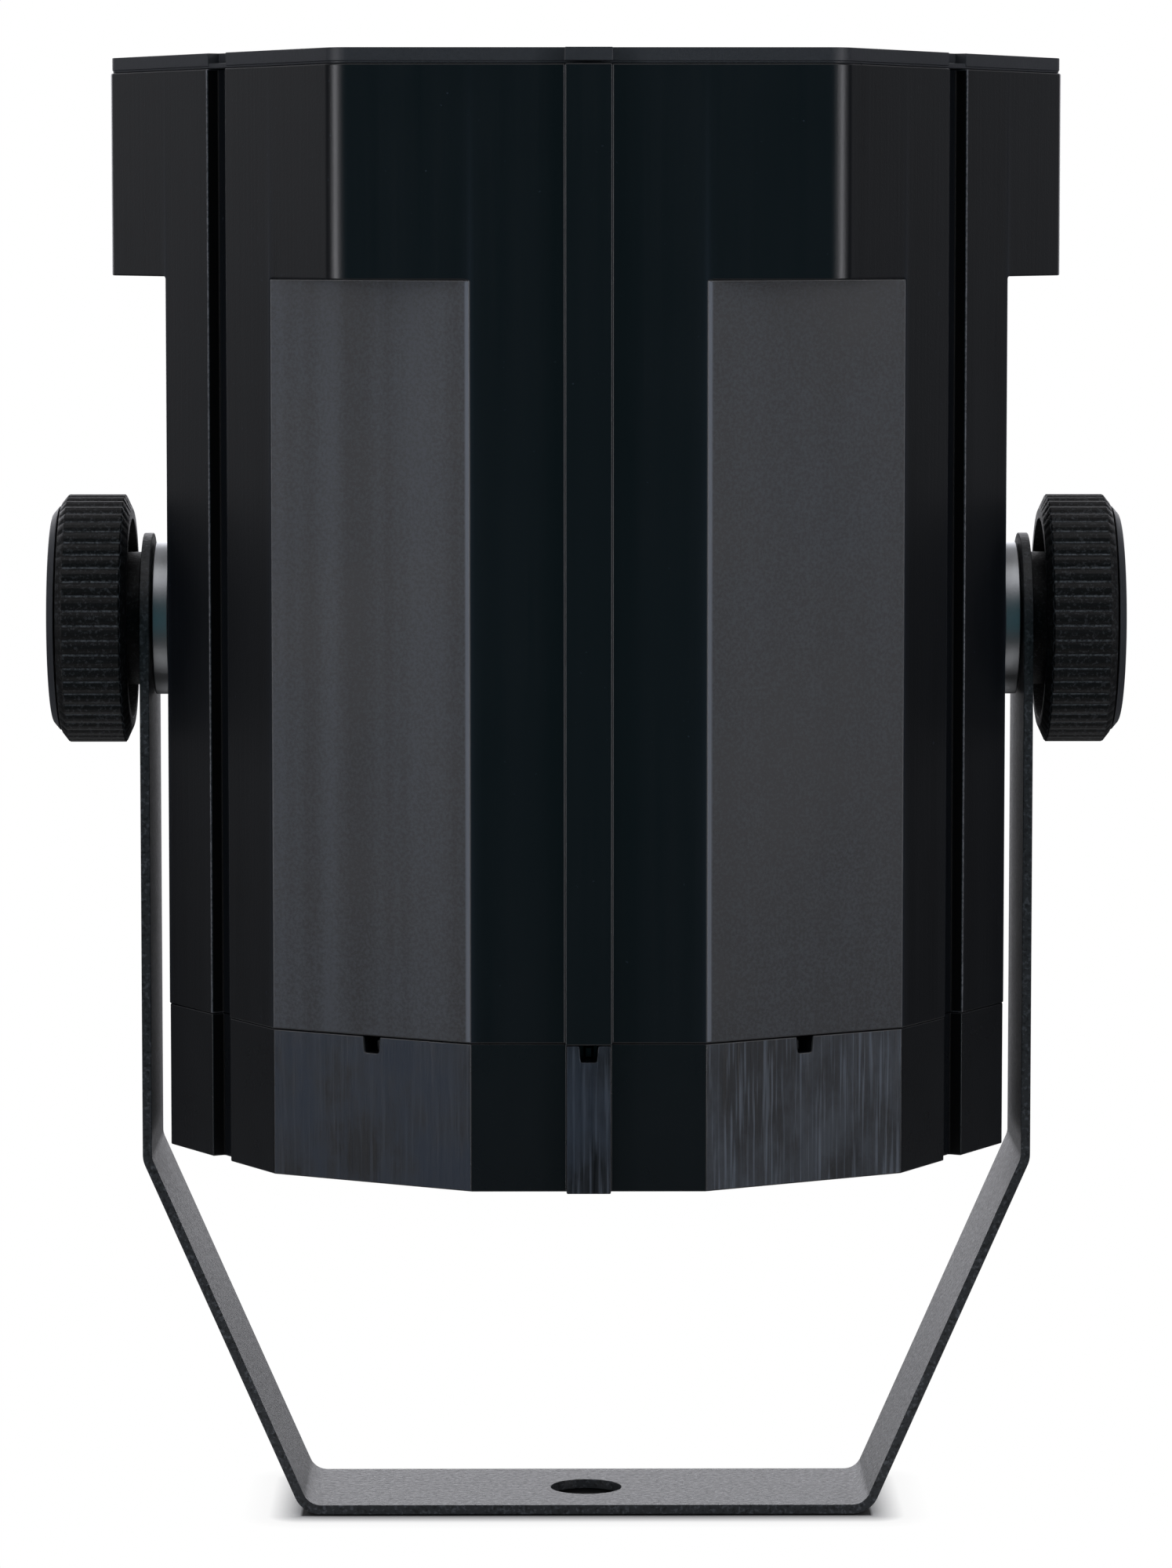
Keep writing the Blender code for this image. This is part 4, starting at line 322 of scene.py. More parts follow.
def stepped_prism(name, sides, apothem, low, high, rib_width, corner_radius=0.0):
    """A prism with ribs at front and back and a groove in each of its other four main sides."""
    sizes = settings().housing
    piece = cylinder(
        name, apothem / math.cos(math.pi / sides), low, high, sides=sides, turn=math.pi / sides,
        caps="NOTHING",
    )
    if corner_radius:
        round_uprights(piece, corner_radius * math.tan(math.pi / sides), 10)
    for angle in FRONT_RIBS:
        step_strip(piece, angle, rib_width, sizes.rib_height)
    for angle in SIDE_GROOVES:
        step_strip(piece, angle, sizes.groove_width, -sizes.groove_depth)
    if pick(piece, "FACE", lambda f: abs(f.normal.z) > 0.9):
        bpy.ops.mesh.delete(type="FACE")
    for level in (low, high):
        rim = pick(
            piece, "EDGE",
            lambda e: e.is_boundary and all(abs(v.co.z - level) < 1e-5 for v in e.verts),
        )
        require(rim, f"rim at {level:.4f}")
        bpy.ops.mesh.edge_face_add()
    tidy_normals(piece)
    return piece


def tidy_normals(piece):
    """Merges doubled points and turns every face outwards."""
    pick(piece, "VERT", anything)
    bpy.ops.mesh.remove_doubles(threshold=DOUBLES)
    bpy.ops.mesh.normals_make_consistent(inside=False)
    end_edit()


def traced(name, points):
    """A line through the points, extruded one after another, left in edit mode."""
    begin()
    bpy.ops.mesh.primitive_plane_add(size=0.001)
    piece = named(name)
    bpy.ops.object.mode_set(mode="EDIT")
    bpy.ops.mesh.select_mode(type="VERT")
    bpy.ops.mesh.select_all(action="SELECT")
    bpy.ops.mesh.merge(type="CENTER")
    bpy.ops.transform.translate(value=points[0])
    for place, target in zip(points, points[1:]):
        bpy.ops.mesh.extrude_vertices_move(TRANSFORM_OT_translate={"value": target - place})
    return piece


def spun(name, section, rounding=0.0, sides=96, open_ends=False):
    """A turned solid: a (radius, height) section with rounded corners, spun about the Z axis.

    The section is a closed loop, or with open_ends runs from the axis back to the axis.
    """
    piece = traced(name, [Vector((radius, 0.0, height)) for radius, height in section])
    if not open_ends:
        pick(piece, "VERT", lambda v: len(v.link_edges) == 1)
        bpy.ops.mesh.edge_face_add()
    if rounding:
        require(pick(piece, "VERT", lambda v: v.co.x > 1e-6 and sharp(v)), "section's corners")
        bpy.ops.mesh.bevel(offset=rounding, segments=4, affect="VERTICES", clamp_overlap=True)
    pick(piece, "VERT", anything)
    bpy.ops.mesh.spin(steps=sides, angle=math.tau, center=(0.0, 0.0, 0.0), axis=(0.0, 0.0, 1.0))
    pick(piece, "VERT", anything)
    bpy.ops.mesh.remove_doubles(threshold=0.000005)
    bpy.ops.mesh.normals_make_consistent(inside=False)
    end_edit()
    return piece


def sharp(vertex):
    """True at a corner of a section that turns by more than 20 degrees."""
    if len(vertex.link_edges) != 2:
        return False
    one, other = (edge.other_vert(vertex).co - vertex.co for edge in vertex.link_edges)
    return math.degrees(one.angle(-other)) > 20


def apply_modifier(piece, kind, **values):
    """Adds a modifier with these values and applies it."""
    only(piece)
    modifier = piece.modifiers.new(kind.title(), kind)
    for key, value in values.items():
        setattr(modifier, key, value)
    bpy.ops.object.modifier_apply(modifier=modifier.name)


def merge(piece, others, operation="DIFFERENCE"):
    """Cuts, joins or intersects the piece with the others, which are used up."""
    for other in others:
        apply_modifier(piece, "BOOLEAN", operation=operation, object=other, solver="EXACT")
        bpy.data.objects.remove(other, do_unlink=True)
    weld(piece, 0.2)


def round_edges(piece, width, segments=2, angle=28.0, clamp=True):
    """Rounds every edge that is sharper than the angle."""
    apply_modifier(
        piece, "BEVEL", width=width, segments=segments, limit_method="ANGLE",
        angle_limit=math.radians(angle), use_clamp_overlap=clamp, harden_normals=False,
        miter_outer="MITER_ARC",
    )


def smooth(piece, angle=50.0):
    """Shades round surfaces smooth and leaves the flats flat."""
    only(piece)
    bpy.ops.object.shade_smooth_by_angle(angle=math.radians(angle))
    apply_modifier(piece, "WEIGHTED_NORMAL", keep_sharp=True, weight=80)
    return piece


def settle(piece, body, slot, node=None, finish=None):
    """Applies the piece's place and gives it its body, its finish and the node it replaces."""
    only(piece)
    bpy.ops.object.transform_apply(location=True, rotation=True, scale=True)
    if not piece.data.materials:
        make = finish or SLOT_FINISHES[slot]
        piece.data.materials.append(make())
    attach(piece, body)
    if node:
        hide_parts(node)


def copy_piece(piece, name):
    """A copy with its own mesh."""
    only(piece)
    bpy.ops.object.duplicate(linked=False)
    copy = bpy.context.active_object
    copy.name = name
    copy.data.name = name
    return copy


def move_piece(piece, place):
    """Moves a finished piece's mesh by this much."""
    only(piece)
    bpy.ops.transform.translate(value=place)
    bpy.ops.object.transform_apply(location=True, rotation=False, scale=False)


def turn_piece(piece, angle, axis):
    """Turns a finished piece's mesh about an axis through the origin, by degrees."""
    piece.matrix_world = Matrix.Rotation(math.radians(angle), 4, axis) @ piece.matrix_world
    only(piece)
    bpy.ops.object.transform_apply(location=True, rotation=True, scale=False)


def at_pivot(piece, side):
    """Turns a piece that was spun upright so that it points out of one side of the pivot."""
    turn_piece(piece, 90 * SIDES[side], "Y")
    move_piece(piece, (0.0, 0.0, PIVOT))
    return piece


# Shader nodes


class Wire:
    """A value in a finish. Arithmetic on it adds Math nodes."""

    def __init__(self, finish, socket):
        self.finish = finish
        self.socket = socket

    def _math(self, operation, first, second):
        return self.finish.math(operation, first, second)

    def __add__(self, other):
        return self._math("ADD", self, other)

    def __sub__(self, other):
        return self._math("SUBTRACT", self, other)

    def __rsub__(self, other):
        return self._math("SUBTRACT", other, self)

    def __mul__(self, other):
        return self._math("MULTIPLY", self, other)

    __radd__ = __add__
    __rmul__ = __mul__


class NodeWork:
    """Adds nodes to one tree and feeds their sockets with values or wires."""

    def __init__(self, tree):
        self.tree = tree

    def feed(self, socket, value):
        if isinstance(value, Wire):
            self.tree.links.new(value.socket, socket)
        else:
            socket.default_value = value

    def add(self, kind, setup=None, inputs=None, output=0):
        """Adds a node, sets it up, feeds its inputs and returns one of its outputs."""
        node = self.tree.nodes.new(kind)
        for key, value in (setup or {}).items():
            if key == "stops":
                self._stops(node.color_ramp, value)
            else:
                setattr(node, key, value)
        for key, value in (inputs or {}).items():
            self.feed(node.inputs[key], value)
        return Wire(self, node.outputs[output])

    @staticmethod
    def _stops(ramp, stops):
        while len(ramp.elements) > 1:
            ramp.elements.remove(ramp.elements[-1])
        for i, (position, level) in enumerate(stops):
            element = ramp.elements[0] if i == 0 else ramp.elements.new(position)
            element.position = position
            element.color = (level, level, level, 1.0)

    def ramp(self, value, *stops):
        """A grey ramp through (position, level) stops."""
        return self.add("ShaderNodeValToRGB", {"stops": stops}, {0: value})

    def place(self):
        """The object coordinates."""
        return self.add("ShaderNodeTexCoord", output="Object")

    def axis(self, name, vector):
        """One axis of a vector."""
        return self.add("ShaderNodeSeparateXYZ", inputs={0: vector}, output=name)

    def where(self, name):
        """One axis of the object coordinates."""
        return self.axis(name, self.place())

    def math(self, operation, *values):
        """A Math node, for what the arithmetic of Wire leaves out."""
        return self.add("ShaderNodeMath", {"operation": operation}, dict(enumerate(values)))

    def vector(self, operation, *values, output=0):
        """A Vector Math node."""
        return self.add(
            "ShaderNodeVectorMath", {"operation": operation}, dict(enumerate(values)), output
        )

    def mix_shaders(self, factor, one, other):
        return self.add("ShaderNodeMixShader", inputs={0: factor, 1: one, 2: other})

    def camera_ray(self):
        return self.add("ShaderNodeLightPath", output="Is Camera Ray")

    def blend(self, factor, one, other):
        """A colour between two others."""
        return self.add("ShaderNodeMix", {"data_type": "RGBA"}, {0: factor, 6: one, 7: other}, 2)


class Finish(NodeWork):
    """A procedural material while it is built."""

    def __init__(self, name, base, roughness, metallic=0.0, **constants):
        self.material = bpy.data.materials.new(name)
        self.material.use_nodes = True
        self.material.diffuse_color = base
        super().__init__(self.material.node_tree)
        self.base = base
        self.shader = self.tree.nodes["Principled BSDF"]
        self.feed(self.shader.inputs["Base Color"], base)
        self.feed(self.shader.inputs["Roughness"], roughness)
        self.feed(self.shader.inputs["Metallic"], metallic)
        for key, value in constants.items():
            label = key.replace("_", " ").title().replace("Ior", "IOR")
            self.feed(self.shader.inputs[label], value)

    def noise(self, scale, detail=2.0, stretch=(1.0, 1.0, 1.0), rough=0.5):
        """Noise on object coordinates. The scale is in features per metre."""
        place = self.add("ShaderNodeMapping", inputs={0: self.place(), 3: stretch})
        return self.add("ShaderNodeTexNoise", inputs={
            "Vector": place, "Scale": scale, "Detail": detail, "Roughness": rough,
        })

    def mask(self, nothing, full, *noise, **more):
        """Noise that is cut off below one level and full above another."""
        return self.ramp(self.noise(*noise, **more), (nothing, 0.0), (full, 1.0))

    def shades(self, level, dark, light):
        """A colour between two shades of the base, given as factors."""
        return self.blend(level, scaled(self.base, dark), scaled(self.base, light))

    def colour(self, value):
        self.feed(self.shader.inputs["Base Color"], value)

    def roughness(self, value):
        self.feed(self.shader.inputs["Roughness"], value)

    def bump(self, height, depth, strength=1.0):
        """Relief of this depth in metres."""
        normal = self.add("ShaderNodeBump", inputs={
            "Strength": strength, "Distance": depth, "Height": height,
        })
        self.feed(self.shader.inputs["Normal"], normal)


def scaled(colour, factor):
    return (*(min(1.0, c * factor) for c in colour[:3]), 1.0)


def once(make):
    """Makes a finish the first time it is asked for and then returns the same one."""
    made = {}

    def found():
        if "finish" not in made:
            made["finish"] = make()
        return made["finish"]

    return found


# Noise stretched along Z: moulding streaks, and the marks of a drawing tool
STREAKED = (1.0, 1.0, 0.02)
DRAWN = (1.0, 1.0, 0.03)
# Scale and detail of the finest noise
GRAIN = (2600.0, 2.0)


@once
def housing_plastic():
    base = tuple(settings().colours.housing)
    finish = Finish("housing_plastic", base, 0.3, specular_ior_level=0.5)
    streaks = finish.noise(330.0, 3.0, STREAKED)
    fine = finish.noise(1400.0, 2.0, DRAWN)
    cloud = finish.noise(45.0, 3.0)
    grain = finish.noise(*GRAIN)
    shade = finish.shades(streaks * 0.6 + cloud * 0.4, 0.6, 1.5)
    dust_and_sheen = finish.mask(0.76, 0.80, 1300.0, 1.0)
    shade = finish.blend(dust_and_sheen * 0.5, shade, scaled(base, 12.0))
    line = head_lines(finish)
    shade = finish.blend(line * 0.7, shade, scaled(base, 4.0))
    # Painted highlights along the rims of the side grooves, in light grey
    finish.colour(finish.blend(groove_rim_highlights(finish), shade, linear("62646a")))
    finish.roughness(0.20 + streaks * 0.10 + cloud * 0.06 + fine * 0.05)
    finish.bump(grain * 0.5 + fine * 0.5 + line * 0.6, 0.000022)
    return finish.material


def head_lines(finish):
    """Faint upright lines that carry the panels' edges up over the head and fade out."""
    half_side = math.pi / 12
    around = finish.math("ARCTAN2", finish.where("X"), finish.where("Y"))
    turn = finish.math("PINGPONG", around + math.pi, half_side)
    above = finish.where("Z") - settings().housing.head_underside
    edge = finish.ramp((half_side - turn) * 40.0, (0.0, 1.0), (0.35, 0.25), (1.0, 0.0))
    return edge * finish.ramp(above * 30.0, (0.0, 1.0), (0.9, 0.15))


def groove_rim_highlights(finish):
    """Painted highlights: thin light lines where the sides turn down into the side grooves, the outer one
    brighter, standing in for the light that the rims catch.
    """
    x, y = (finish.math("ABSOLUTE", finish.where(name)) for name in "XY")
    across = y * math.cos(math.pi / 6) - x * math.sin(math.pi / 6)
    half = settings().housing.groove_width / 2
    outer, inner = (
        finish.ramp(beyond, (0.0, 0.0), (0.02, level), (width, level), (width + fade, 0.0))
        for beyond, level, width, fade in (
            ((across + half) * -1000.0, 0.8, 0.24, 0.10),
            ((across - half) * 1000.0, 0.4, 0.22, 0.12),
        )
    )
    return (outer + inner) * finish.ramp(finish.noise(2200.0), (0.40, 0.3), (0.60, 1.0))


# Painted shade: a near-black finish for the walls of the side grooves, standing in for the shade inside them
@once
def groove_black():
    base = linear("050506")
    finish = Finish("groove_black", base, 0.6, specular_ior_level=0.15)
    grain = finish.noise(1800.0, 2.0, (1.0, 1.0, 0.1))
    finish.colour(finish.shades(grain, 0.6, 1.6))
    finish.bump(grain, 0.00003)
    return finish.material


@once
def panel_grain():
    base = tuple(settings().colours.panels)
    finish = Finish("housing_panel_grain", base, 0.5, specular_ior_level=0.4)
    x = finish.where("X")
    left_only = finish.ramp(x * 20.0 + 0.5, (0.3, 1.0), (0.7, 0.15))
    bands = finish.mask(0.35, 0.65, 170.0, 2.0, (1.0, 1.0, 0.010))
    cloud = finish.mask(0.35, 0.65, 30.0, 5.0, rough=0.6)
    grain = finish.noise(2000.0, 3.0, rough=0.7)
    frost = finish.ramp(grain, (0.40, 0.0), (0.60, 1.0))
    mix = bands * left_only * 0.5 + cloud * 0.3 + frost * 0.4
    mix = finish.ramp(mix, (0.2, 0.0), (0.9, 1.0))
    shade = finish.shades(mix, 0.4, 2.0)
    # Painted highlight: a thin light line where the corner panels meet the front and back faces, standing in for
    # the light their edges catch
    inner_edge = high_of("main_housing").y * math.tan(math.pi / 12)
    rim = finish.ramp((x * x - inner_edge**2) * 55000.0, (0.0, 1.0), (0.6, 0.0))
    finish.colour(finish.blend(rim, shade, scaled(base, 5.0)))
    finish.roughness(0.42 + cloud * 0.06 + grain * 0.10)
    finish.bump(grain, 0.000035, 0.8)
    return finish.material


@once
def bezel_plastic():
    base = tuple(settings().colours.bezel)
    finish = Finish("bezel_plastic", base, 0.5, specular_ior_level=0.4)
    grain = finish.noise(1500.0, 3.0, rough=0.7)
    cloud = finish.noise(60.0, 3.0)
    finish.colour(finish.shades(grain * 0.6 + cloud * 0.4, 0.5, 1.5))
    finish.roughness(0.42 + cloud * 0.12)
    finish.bump(grain, 0.00003, 0.8)
    return finish.material


@once
def cap_plastic():
    base = tuple(settings().colours.cap)
    finish = Finish("cap_plastic", base, 0.3, specular_ior_level=0.45)
    drawn = finish.noise(1500.0, 2.0, DRAWN)
    cloud = finish.noise(90.0, 3.0)
    finish.colour(finish.shades(cloud * 0.7 + drawn * 0.3, 0.7, 1.4))
    finish.roughness(0.24 + cloud * 0.08)
    finish.bump(finish.noise(*GRAIN), 0.00002, 0.7)
    return finish.material


# The rear cap's panels: drawn streaks and mottle, with painted light that makes the right panel brighter and the
# left one darker and bluer
@once
def cap_panel_streaks():
    base = scaled(tuple(settings().colours.cap), 4.0)
    finish = Finish("cap_panel_streaks", base, 0.45, specular_ior_level=0.25)
    drawn = finish.mask(0.35, 0.65, 1300.0, 4.0, DRAWN, 0.7)
    broad = finish.mask(0.40, 0.60, 90.0, 5.0, (1.0, 1.0, 0.6), 0.65)
    lines = finish.mask(0.52, 0.66, 2000.0, 3.0, DRAWN)
    # Painted sheen: the light streak lines grow stronger towards the right
    right = finish.ramp(finish.where("X") * 14.0 + 0.5, (0.25, 0.0), (0.75, 1.0))
    shade = finish.shades(drawn * 0.35 + broad * 0.65, 0.2, 2.3)
    shade = finish.blend(lines * (0.12 + right * 0.35), shade, scaled(base, 7.0))
    # Painted shade: the left panel is blended towards a darker, bluer copy of the colour
    cool_painted_shade = (base[0] * 0.35, base[1] * 0.7, base[2] * 1.15, 1.0)
    finish.colour(finish.blend((1.0 - right) * broad * 0.7, shade, cool_painted_shade))
    finish.roughness(0.36 + drawn * 0.14)
    finish.bump(drawn, 0.00004, 0.8)
    return finish.material


@once
def knob_plastic():
    base = tuple(settings().colours.knobs)
    finish = Finish("knob_plastic", base, 0.5, specular_ior_level=0.25)
    grain = finish.noise(2000.0, 3.0, rough=0.7)
    specks = finish.mask(0.54, 0.62, 1700.0, 3.0, rough=0.7)
    # Painted highlight: the valley bottoms are lightened into thin bright lines, broken up by the grain
    dust_and_sheen = valley_highlight(finish) * finish.ramp(grain, (0.40, 0.1), (0.60, 1.0))
    shade = finish.shades(specks * 0.7, 0.6, 12.0)
    finish.colour(finish.blend(dust_and_sheen, shade, scaled(base, 38.0)))
    finish.roughness(0.42 + grain * 0.15)
    finish.bump(grain, 0.00010, 0.9)
    return finish.material


def valley_highlight(finish):
    """A mask for the bottoms of the valleys between the ribs of a knob, where a painted highlight lightens the
    colour.
    """
    sizes = settings().knobs
    along, above = finish.where("Y"), finish.where("Z") - PIVOT
    valley = high_of("knob_grip_left").z - PIVOT - sizes.rib_depth
    deep = (along * along + above * above - valley**2) * 40000.0 + 0.2
    deep = finish.ramp(deep, (0.0, 0.0), (0.1, 1.0), (0.25, 1.0), (0.45, 0.0))
    outer_end = high_of("knob_grip_right").x - sizes.chamfer
    x = finish.where("X")
    on_barrel = finish.ramp((outer_end**2 - x * x) * 9000.0, (0.0, 0.0), (0.4, 1.0))
    return deep * on_barrel


@once
def powder_coat():
    base = tuple(settings().colours.yoke)
    finish = Finish("powder_coat", base, 0.5, specular_ior_level=0.5)
    peel = finish.noise(1250.0, 3.0, rough=0.65)
    flecks = finish.mask(0.54, 0.66, 1700.0, 2.0)
    pits = finish.ramp(finish.noise(1500.0, 2.0), (0.34, 1.0), (0.46, 0.0))
    shade = finish.blend(flecks * 0.8, base, scaled(base, 3.6))
    finish.colour(finish.blend(pits * 0.85, shade, scaled(base, 0.1)))
    finish.roughness(0.33 + peel * 0.30)
    finish.bump(peel, 0.00012, 0.9)
    return finish.material


@once
def washer_steel():
    return brushed("washer_steel", tuple(settings().colours.washers), 0.36)


@once
def coated_glass():
    finish = Finish(
        "coated_glass", linear("f2f7fb"), 0.02, transmission_weight=1.0, ior=1.52, coat_weight=0.4
    )
    dust_and_sheen = finish.mask(0.70, 0.80, 2500.0, 1.0)
    finish.roughness(0.015 + dust_and_sheen * 0.05)
    return finish.material


@once
def display_glass():
    finish = Finish("display_glass", linear("0a1418"), 0.08, coat_weight=0.5)
    finish.roughness(0.06 + finish.noise(300.0, 2.0) * 0.06)
    return finish.material


@once
def circuit_board():
    base = linear("174a2c")
    finish = Finish("circuit_board", base, 0.4)
    weave = finish.noise(900.0, 2.0, (1.0, 0.15, 1.0))
    tracks = finish.mask(0.49, 0.51, 420.0, 0.0)
    finish.colour(finish.shades(tracks * 0.5 + weave * 0.2, 0.7, 1.7))
    finish.bump(weave, 0.00002)
    return finish.material


def brushed(name, base, roughness, stretch=(1.0, 1.0, 1.0), metallic=1.0):
    """A metal with fine tool marks, which run where the stretch is small."""
    finish = Finish(name, base, roughness, metallic)
    marks = finish.noise(2200.0, 3.0, stretch)
    cloud = finish.noise(180.0, 2.0)
    finish.colour(finish.shades(cloud * 0.6 + marks * 0.4, 0.82, 1.12))
    finish.roughness(roughness - 0.06 + marks * 0.12)
    finish.bump(marks, 0.000012)
    return finish.material


def metal(name, hex_colour, roughness, stretch=(1.0, 1.0, 1.0), metallic=1.0):
    """A slot's entry for a brushed metal."""
    return once(lambda: brushed(name, linear(hex_colour), roughness, stretch, metallic))


def plain(name, hex_colour, roughness, mottle, shades, swing=0.0, relief=0.0, fine=GRAIN):
    """A slot's entry for a finish with one mottle of its colour and perhaps fine relief.

    The mottle and the fine noise are given as (scale, detail), the shades as factors on the
    colour, the swing as a change of the roughness and the relief as a depth in metres.
    """

    def make():
        base = linear(hex_colour)
        finish = Finish(name, base, roughness)
        level = finish.noise(*mottle)
        finish.colour(finish.shades(level, *shades))
        if swing:
            finish.roughness(roughness - swing / 2 + level * swing)
        if relief:
            finish.bump(finish.noise(*fine), relief)
        return finish.material

    return once(make)


SLOT_FINISHES = {
    "housing_plastic": housing_plastic,
    "cap_plastic": cap_plastic,
    "knob_plastic": knob_plastic,
    "dark_plastic": plain("dark_plastic", "0d0e10", 0.42, (120.0, 2.0), (0.8, 1.4), 0.12, 0.00002),
    "powder_coat": powder_coat,
    "panel_paint": plain(
        "panel_paint", "17181a", 0.455, (1300.0, 3.0), (0.8, 1.4), 0.15, 0.00005, (1300.0, 3.0)
    ),
    "bare_steel": metal("bare_steel", "8d8f91", 0.33, (1.0, 1.0, 0.08)),
    "black_screw": metal("black_screw", "17171a", 0.36, metallic=0.8),
    "brass": metal("brass", "b08d4a", 0.32, (1.0, 1.0, 0.1)),
    "aluminium": metal("aluminium", "b0b3b6", 0.36, (0.06, 1.0, 1.0)),
    "black_aluminium": metal("black_aluminium", "17181a", 0.42, (1.0, 1.0, 0.06), 0.7),
    "clear_glass": coated_glass,
    "circuit_board": circuit_board,
    "yellow_phosphor": plain("yellow_phosphor", "e2c347", 0.6, GRAIN, (0.85, 1.1), 0.0, 0.00003),
    "lead_jacket": plain("lead_jacket", "98201b", 0.5, (900.0, 2.0), (0.75, 1.2), 0.16),
    "button_rubber": plain("button_rubber", "26282b", 0.65, GRAIN, (0.75, 1.4), 0.0, 0.00003),
}


def finish_faces(piece, material, test):
    """Gives the faces that pass the test a further material, by its slot."""
    piece.data.materials.append(material)
    require(pick(piece, "FACE", test), "faces for " + material.name)
    piece.active_material_index = len(piece.data.materials) - 1
    bpy.ops.object.material_slot_assign()
    end_edit()


def on_panels(top):
    """A test for faces of the set-back panels below a height."""
    directions = [facing(angle)[0] for angle in PANEL_ANGLES]

    def test(face):
        on_a_panel = any((face.normal - outward).length < 0.02 for outward in directions)
        return on_a_panel and face.calc_center_median().z < top

    return test


def in_strips(angles, width, nearest, farthest):
    """A test for faces inside the upright strips on some sides, between two distances out."""
    sides = [facing(angle) for angle in angles]

    def test(face):
        centre = face.calc_center_median()
        return any(
            abs(centre.dot(along)) < width / 2 + 0.00002
            and nearest < centre.dot(outward) < farthest
            for outward, along in sides
        )

    return test


def groove_walls(sizes):
    """A test for the walls of the side grooves."""
    floor = sizes.apothem - sizes.cap_setback - sizes.groove_depth
    top = sizes.apothem - 0.0005
    inside = in_strips(SIDE_GROOVES, sizes.groove_width, floor - 0.0002, top)
    sides = [facing(angle)[1] for angle in SIDE_GROOVES]
    return lambda face: inside(face) and any(abs(face.normal.dot(along)) > 0.9 for along in sides)


# Pieces


class PROJECTOR_OT_finishes(Operator):
    """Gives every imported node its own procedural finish"""

    bl_idname = "projector.finishes"
    bl_label = "Finish the packed nodes"

    def execute(self, context):
        for part in frame["record"]["subparts"]:
            materials = frame["nodes"][part["node"]].data.materials
            materials.clear()
            materials.append(SLOT_FINISHES[part["material_slot"]]())
        return {"FINISHED"}


class PROJECTOR_OT_housing(Operator):
    """Models the twelve-sided body and the six-sided lens head"""

    bl_idname = "projector.housing"
    bl_label = "Housing"

    insert_bore = 0.0073
    tongue_half_width = 0.004
    tongue_thickness = 0.0015
    tongue_below = 0.007
    tongue_above = 0.005
    catch_height = 0.002
    catch_root = 0.0007
    catch_below = 0.0008

    def execute(self, context):
        sizes = settings().housing
        top = high_of("main_housing").z
        body = stepped_prism(
            "housing_shell", 6, sizes.apothem, sizes.seam, top, sizes.rib_width,
            sizes.corner_radius,
        )
        corners = [self.corner(angle, sizes) for angle in PANEL_ANGLES]
        wall_inside = sizes.apothem - sizes.wall
        hollow = cylinder(
            "hollow", wall_inside / math.cos(math.pi / 12), sizes.seam - OVERSHOOT,
            top + OVERSHOOT, sides=12, turn=math.pi / 12,
        )
        low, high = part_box("gobo_holder")
        slot = block(
            "slot", (low.x - GAP, wall_inside - OVERSHOOT, low.z - GAP),
            (high.x + GAP, high.y + OVERSHOOT, high.z + GAP),
        )
        bores = [
            at_pivot(
                cylinder("bore", self.insert_bore, wall_inside - OVERSHOOT,
                         sizes.apothem + OVERSHOOT), side,
            )
            for side in SIDES
        ]
        merge(body, [*corners, hollow, slot, *bores])
        round_edges(body, sizes.edge, clamp=False)
        body.data.materials.clear()
        body.data.materials.append(housing_plastic())
        finish_faces(body, panel_grain(), on_panels(sizes.head_underside - OVERSHOOT))
        # The groove walls get the near-black finish: painted shade
        finish_faces(body, groove_black(), groove_walls(sizes))
        smooth(body)
        settle(body, "housing", "housing_plastic", "main_housing")
        self.tongues(sizes)
        return {"FINISHED"}

    def corner(self, angle, sizes):
        """The corner of the six-sided prism that is cut away below the head."""
        half = sizes.apothem * math.tan(math.pi / 12) + OVERSHOOT
        reach = sizes.apothem / math.cos(math.pi / 6) + OVERSHOOT
        wedge = block(
            "corner", (-half, -reach, sizes.seam - OVERSHOOT),
            (half, -sizes.apothem, sizes.head_underside),
        )
        turn_piece(wedge, angle, "Z")
        return wedge

    def tongues(self, sizes):
        """The snap tongues behind the cap's windows, all one object."""
        face = sizes.wall + sizes.cap_setback + GAP - sizes.apothem
        wide, seam = self.tongue_half_width, sizes.seam
        first = block(
            "snap_tongues", (-wide, face, seam - self.tongue_below),
            (wide, face + self.tongue_thickness, seam + self.tongue_above),
        )
        narrow = sizes.window_foot / 2 - 2 * GAP
        catch = block(
            "catch", (-narrow, face - self.catch_height, seam - sizes.window_height),
            (narrow, face + self.catch_root, seam - self.catch_below),
        )
        merge(first, [catch], "UNION")
        round_edges(first, FINE_EDGE)
        copies = []
        for angle in SNAP_ANGLES[1:]:
            copy = copy_piece(first, "tongue")
            turn_piece(copy, angle, "Z")
            copies.append(copy)
        only(first)
        for copy in copies:
            copy.select_set(True)
        bpy.ops.object.join()
        settle(first, "housing", "housing_plastic")


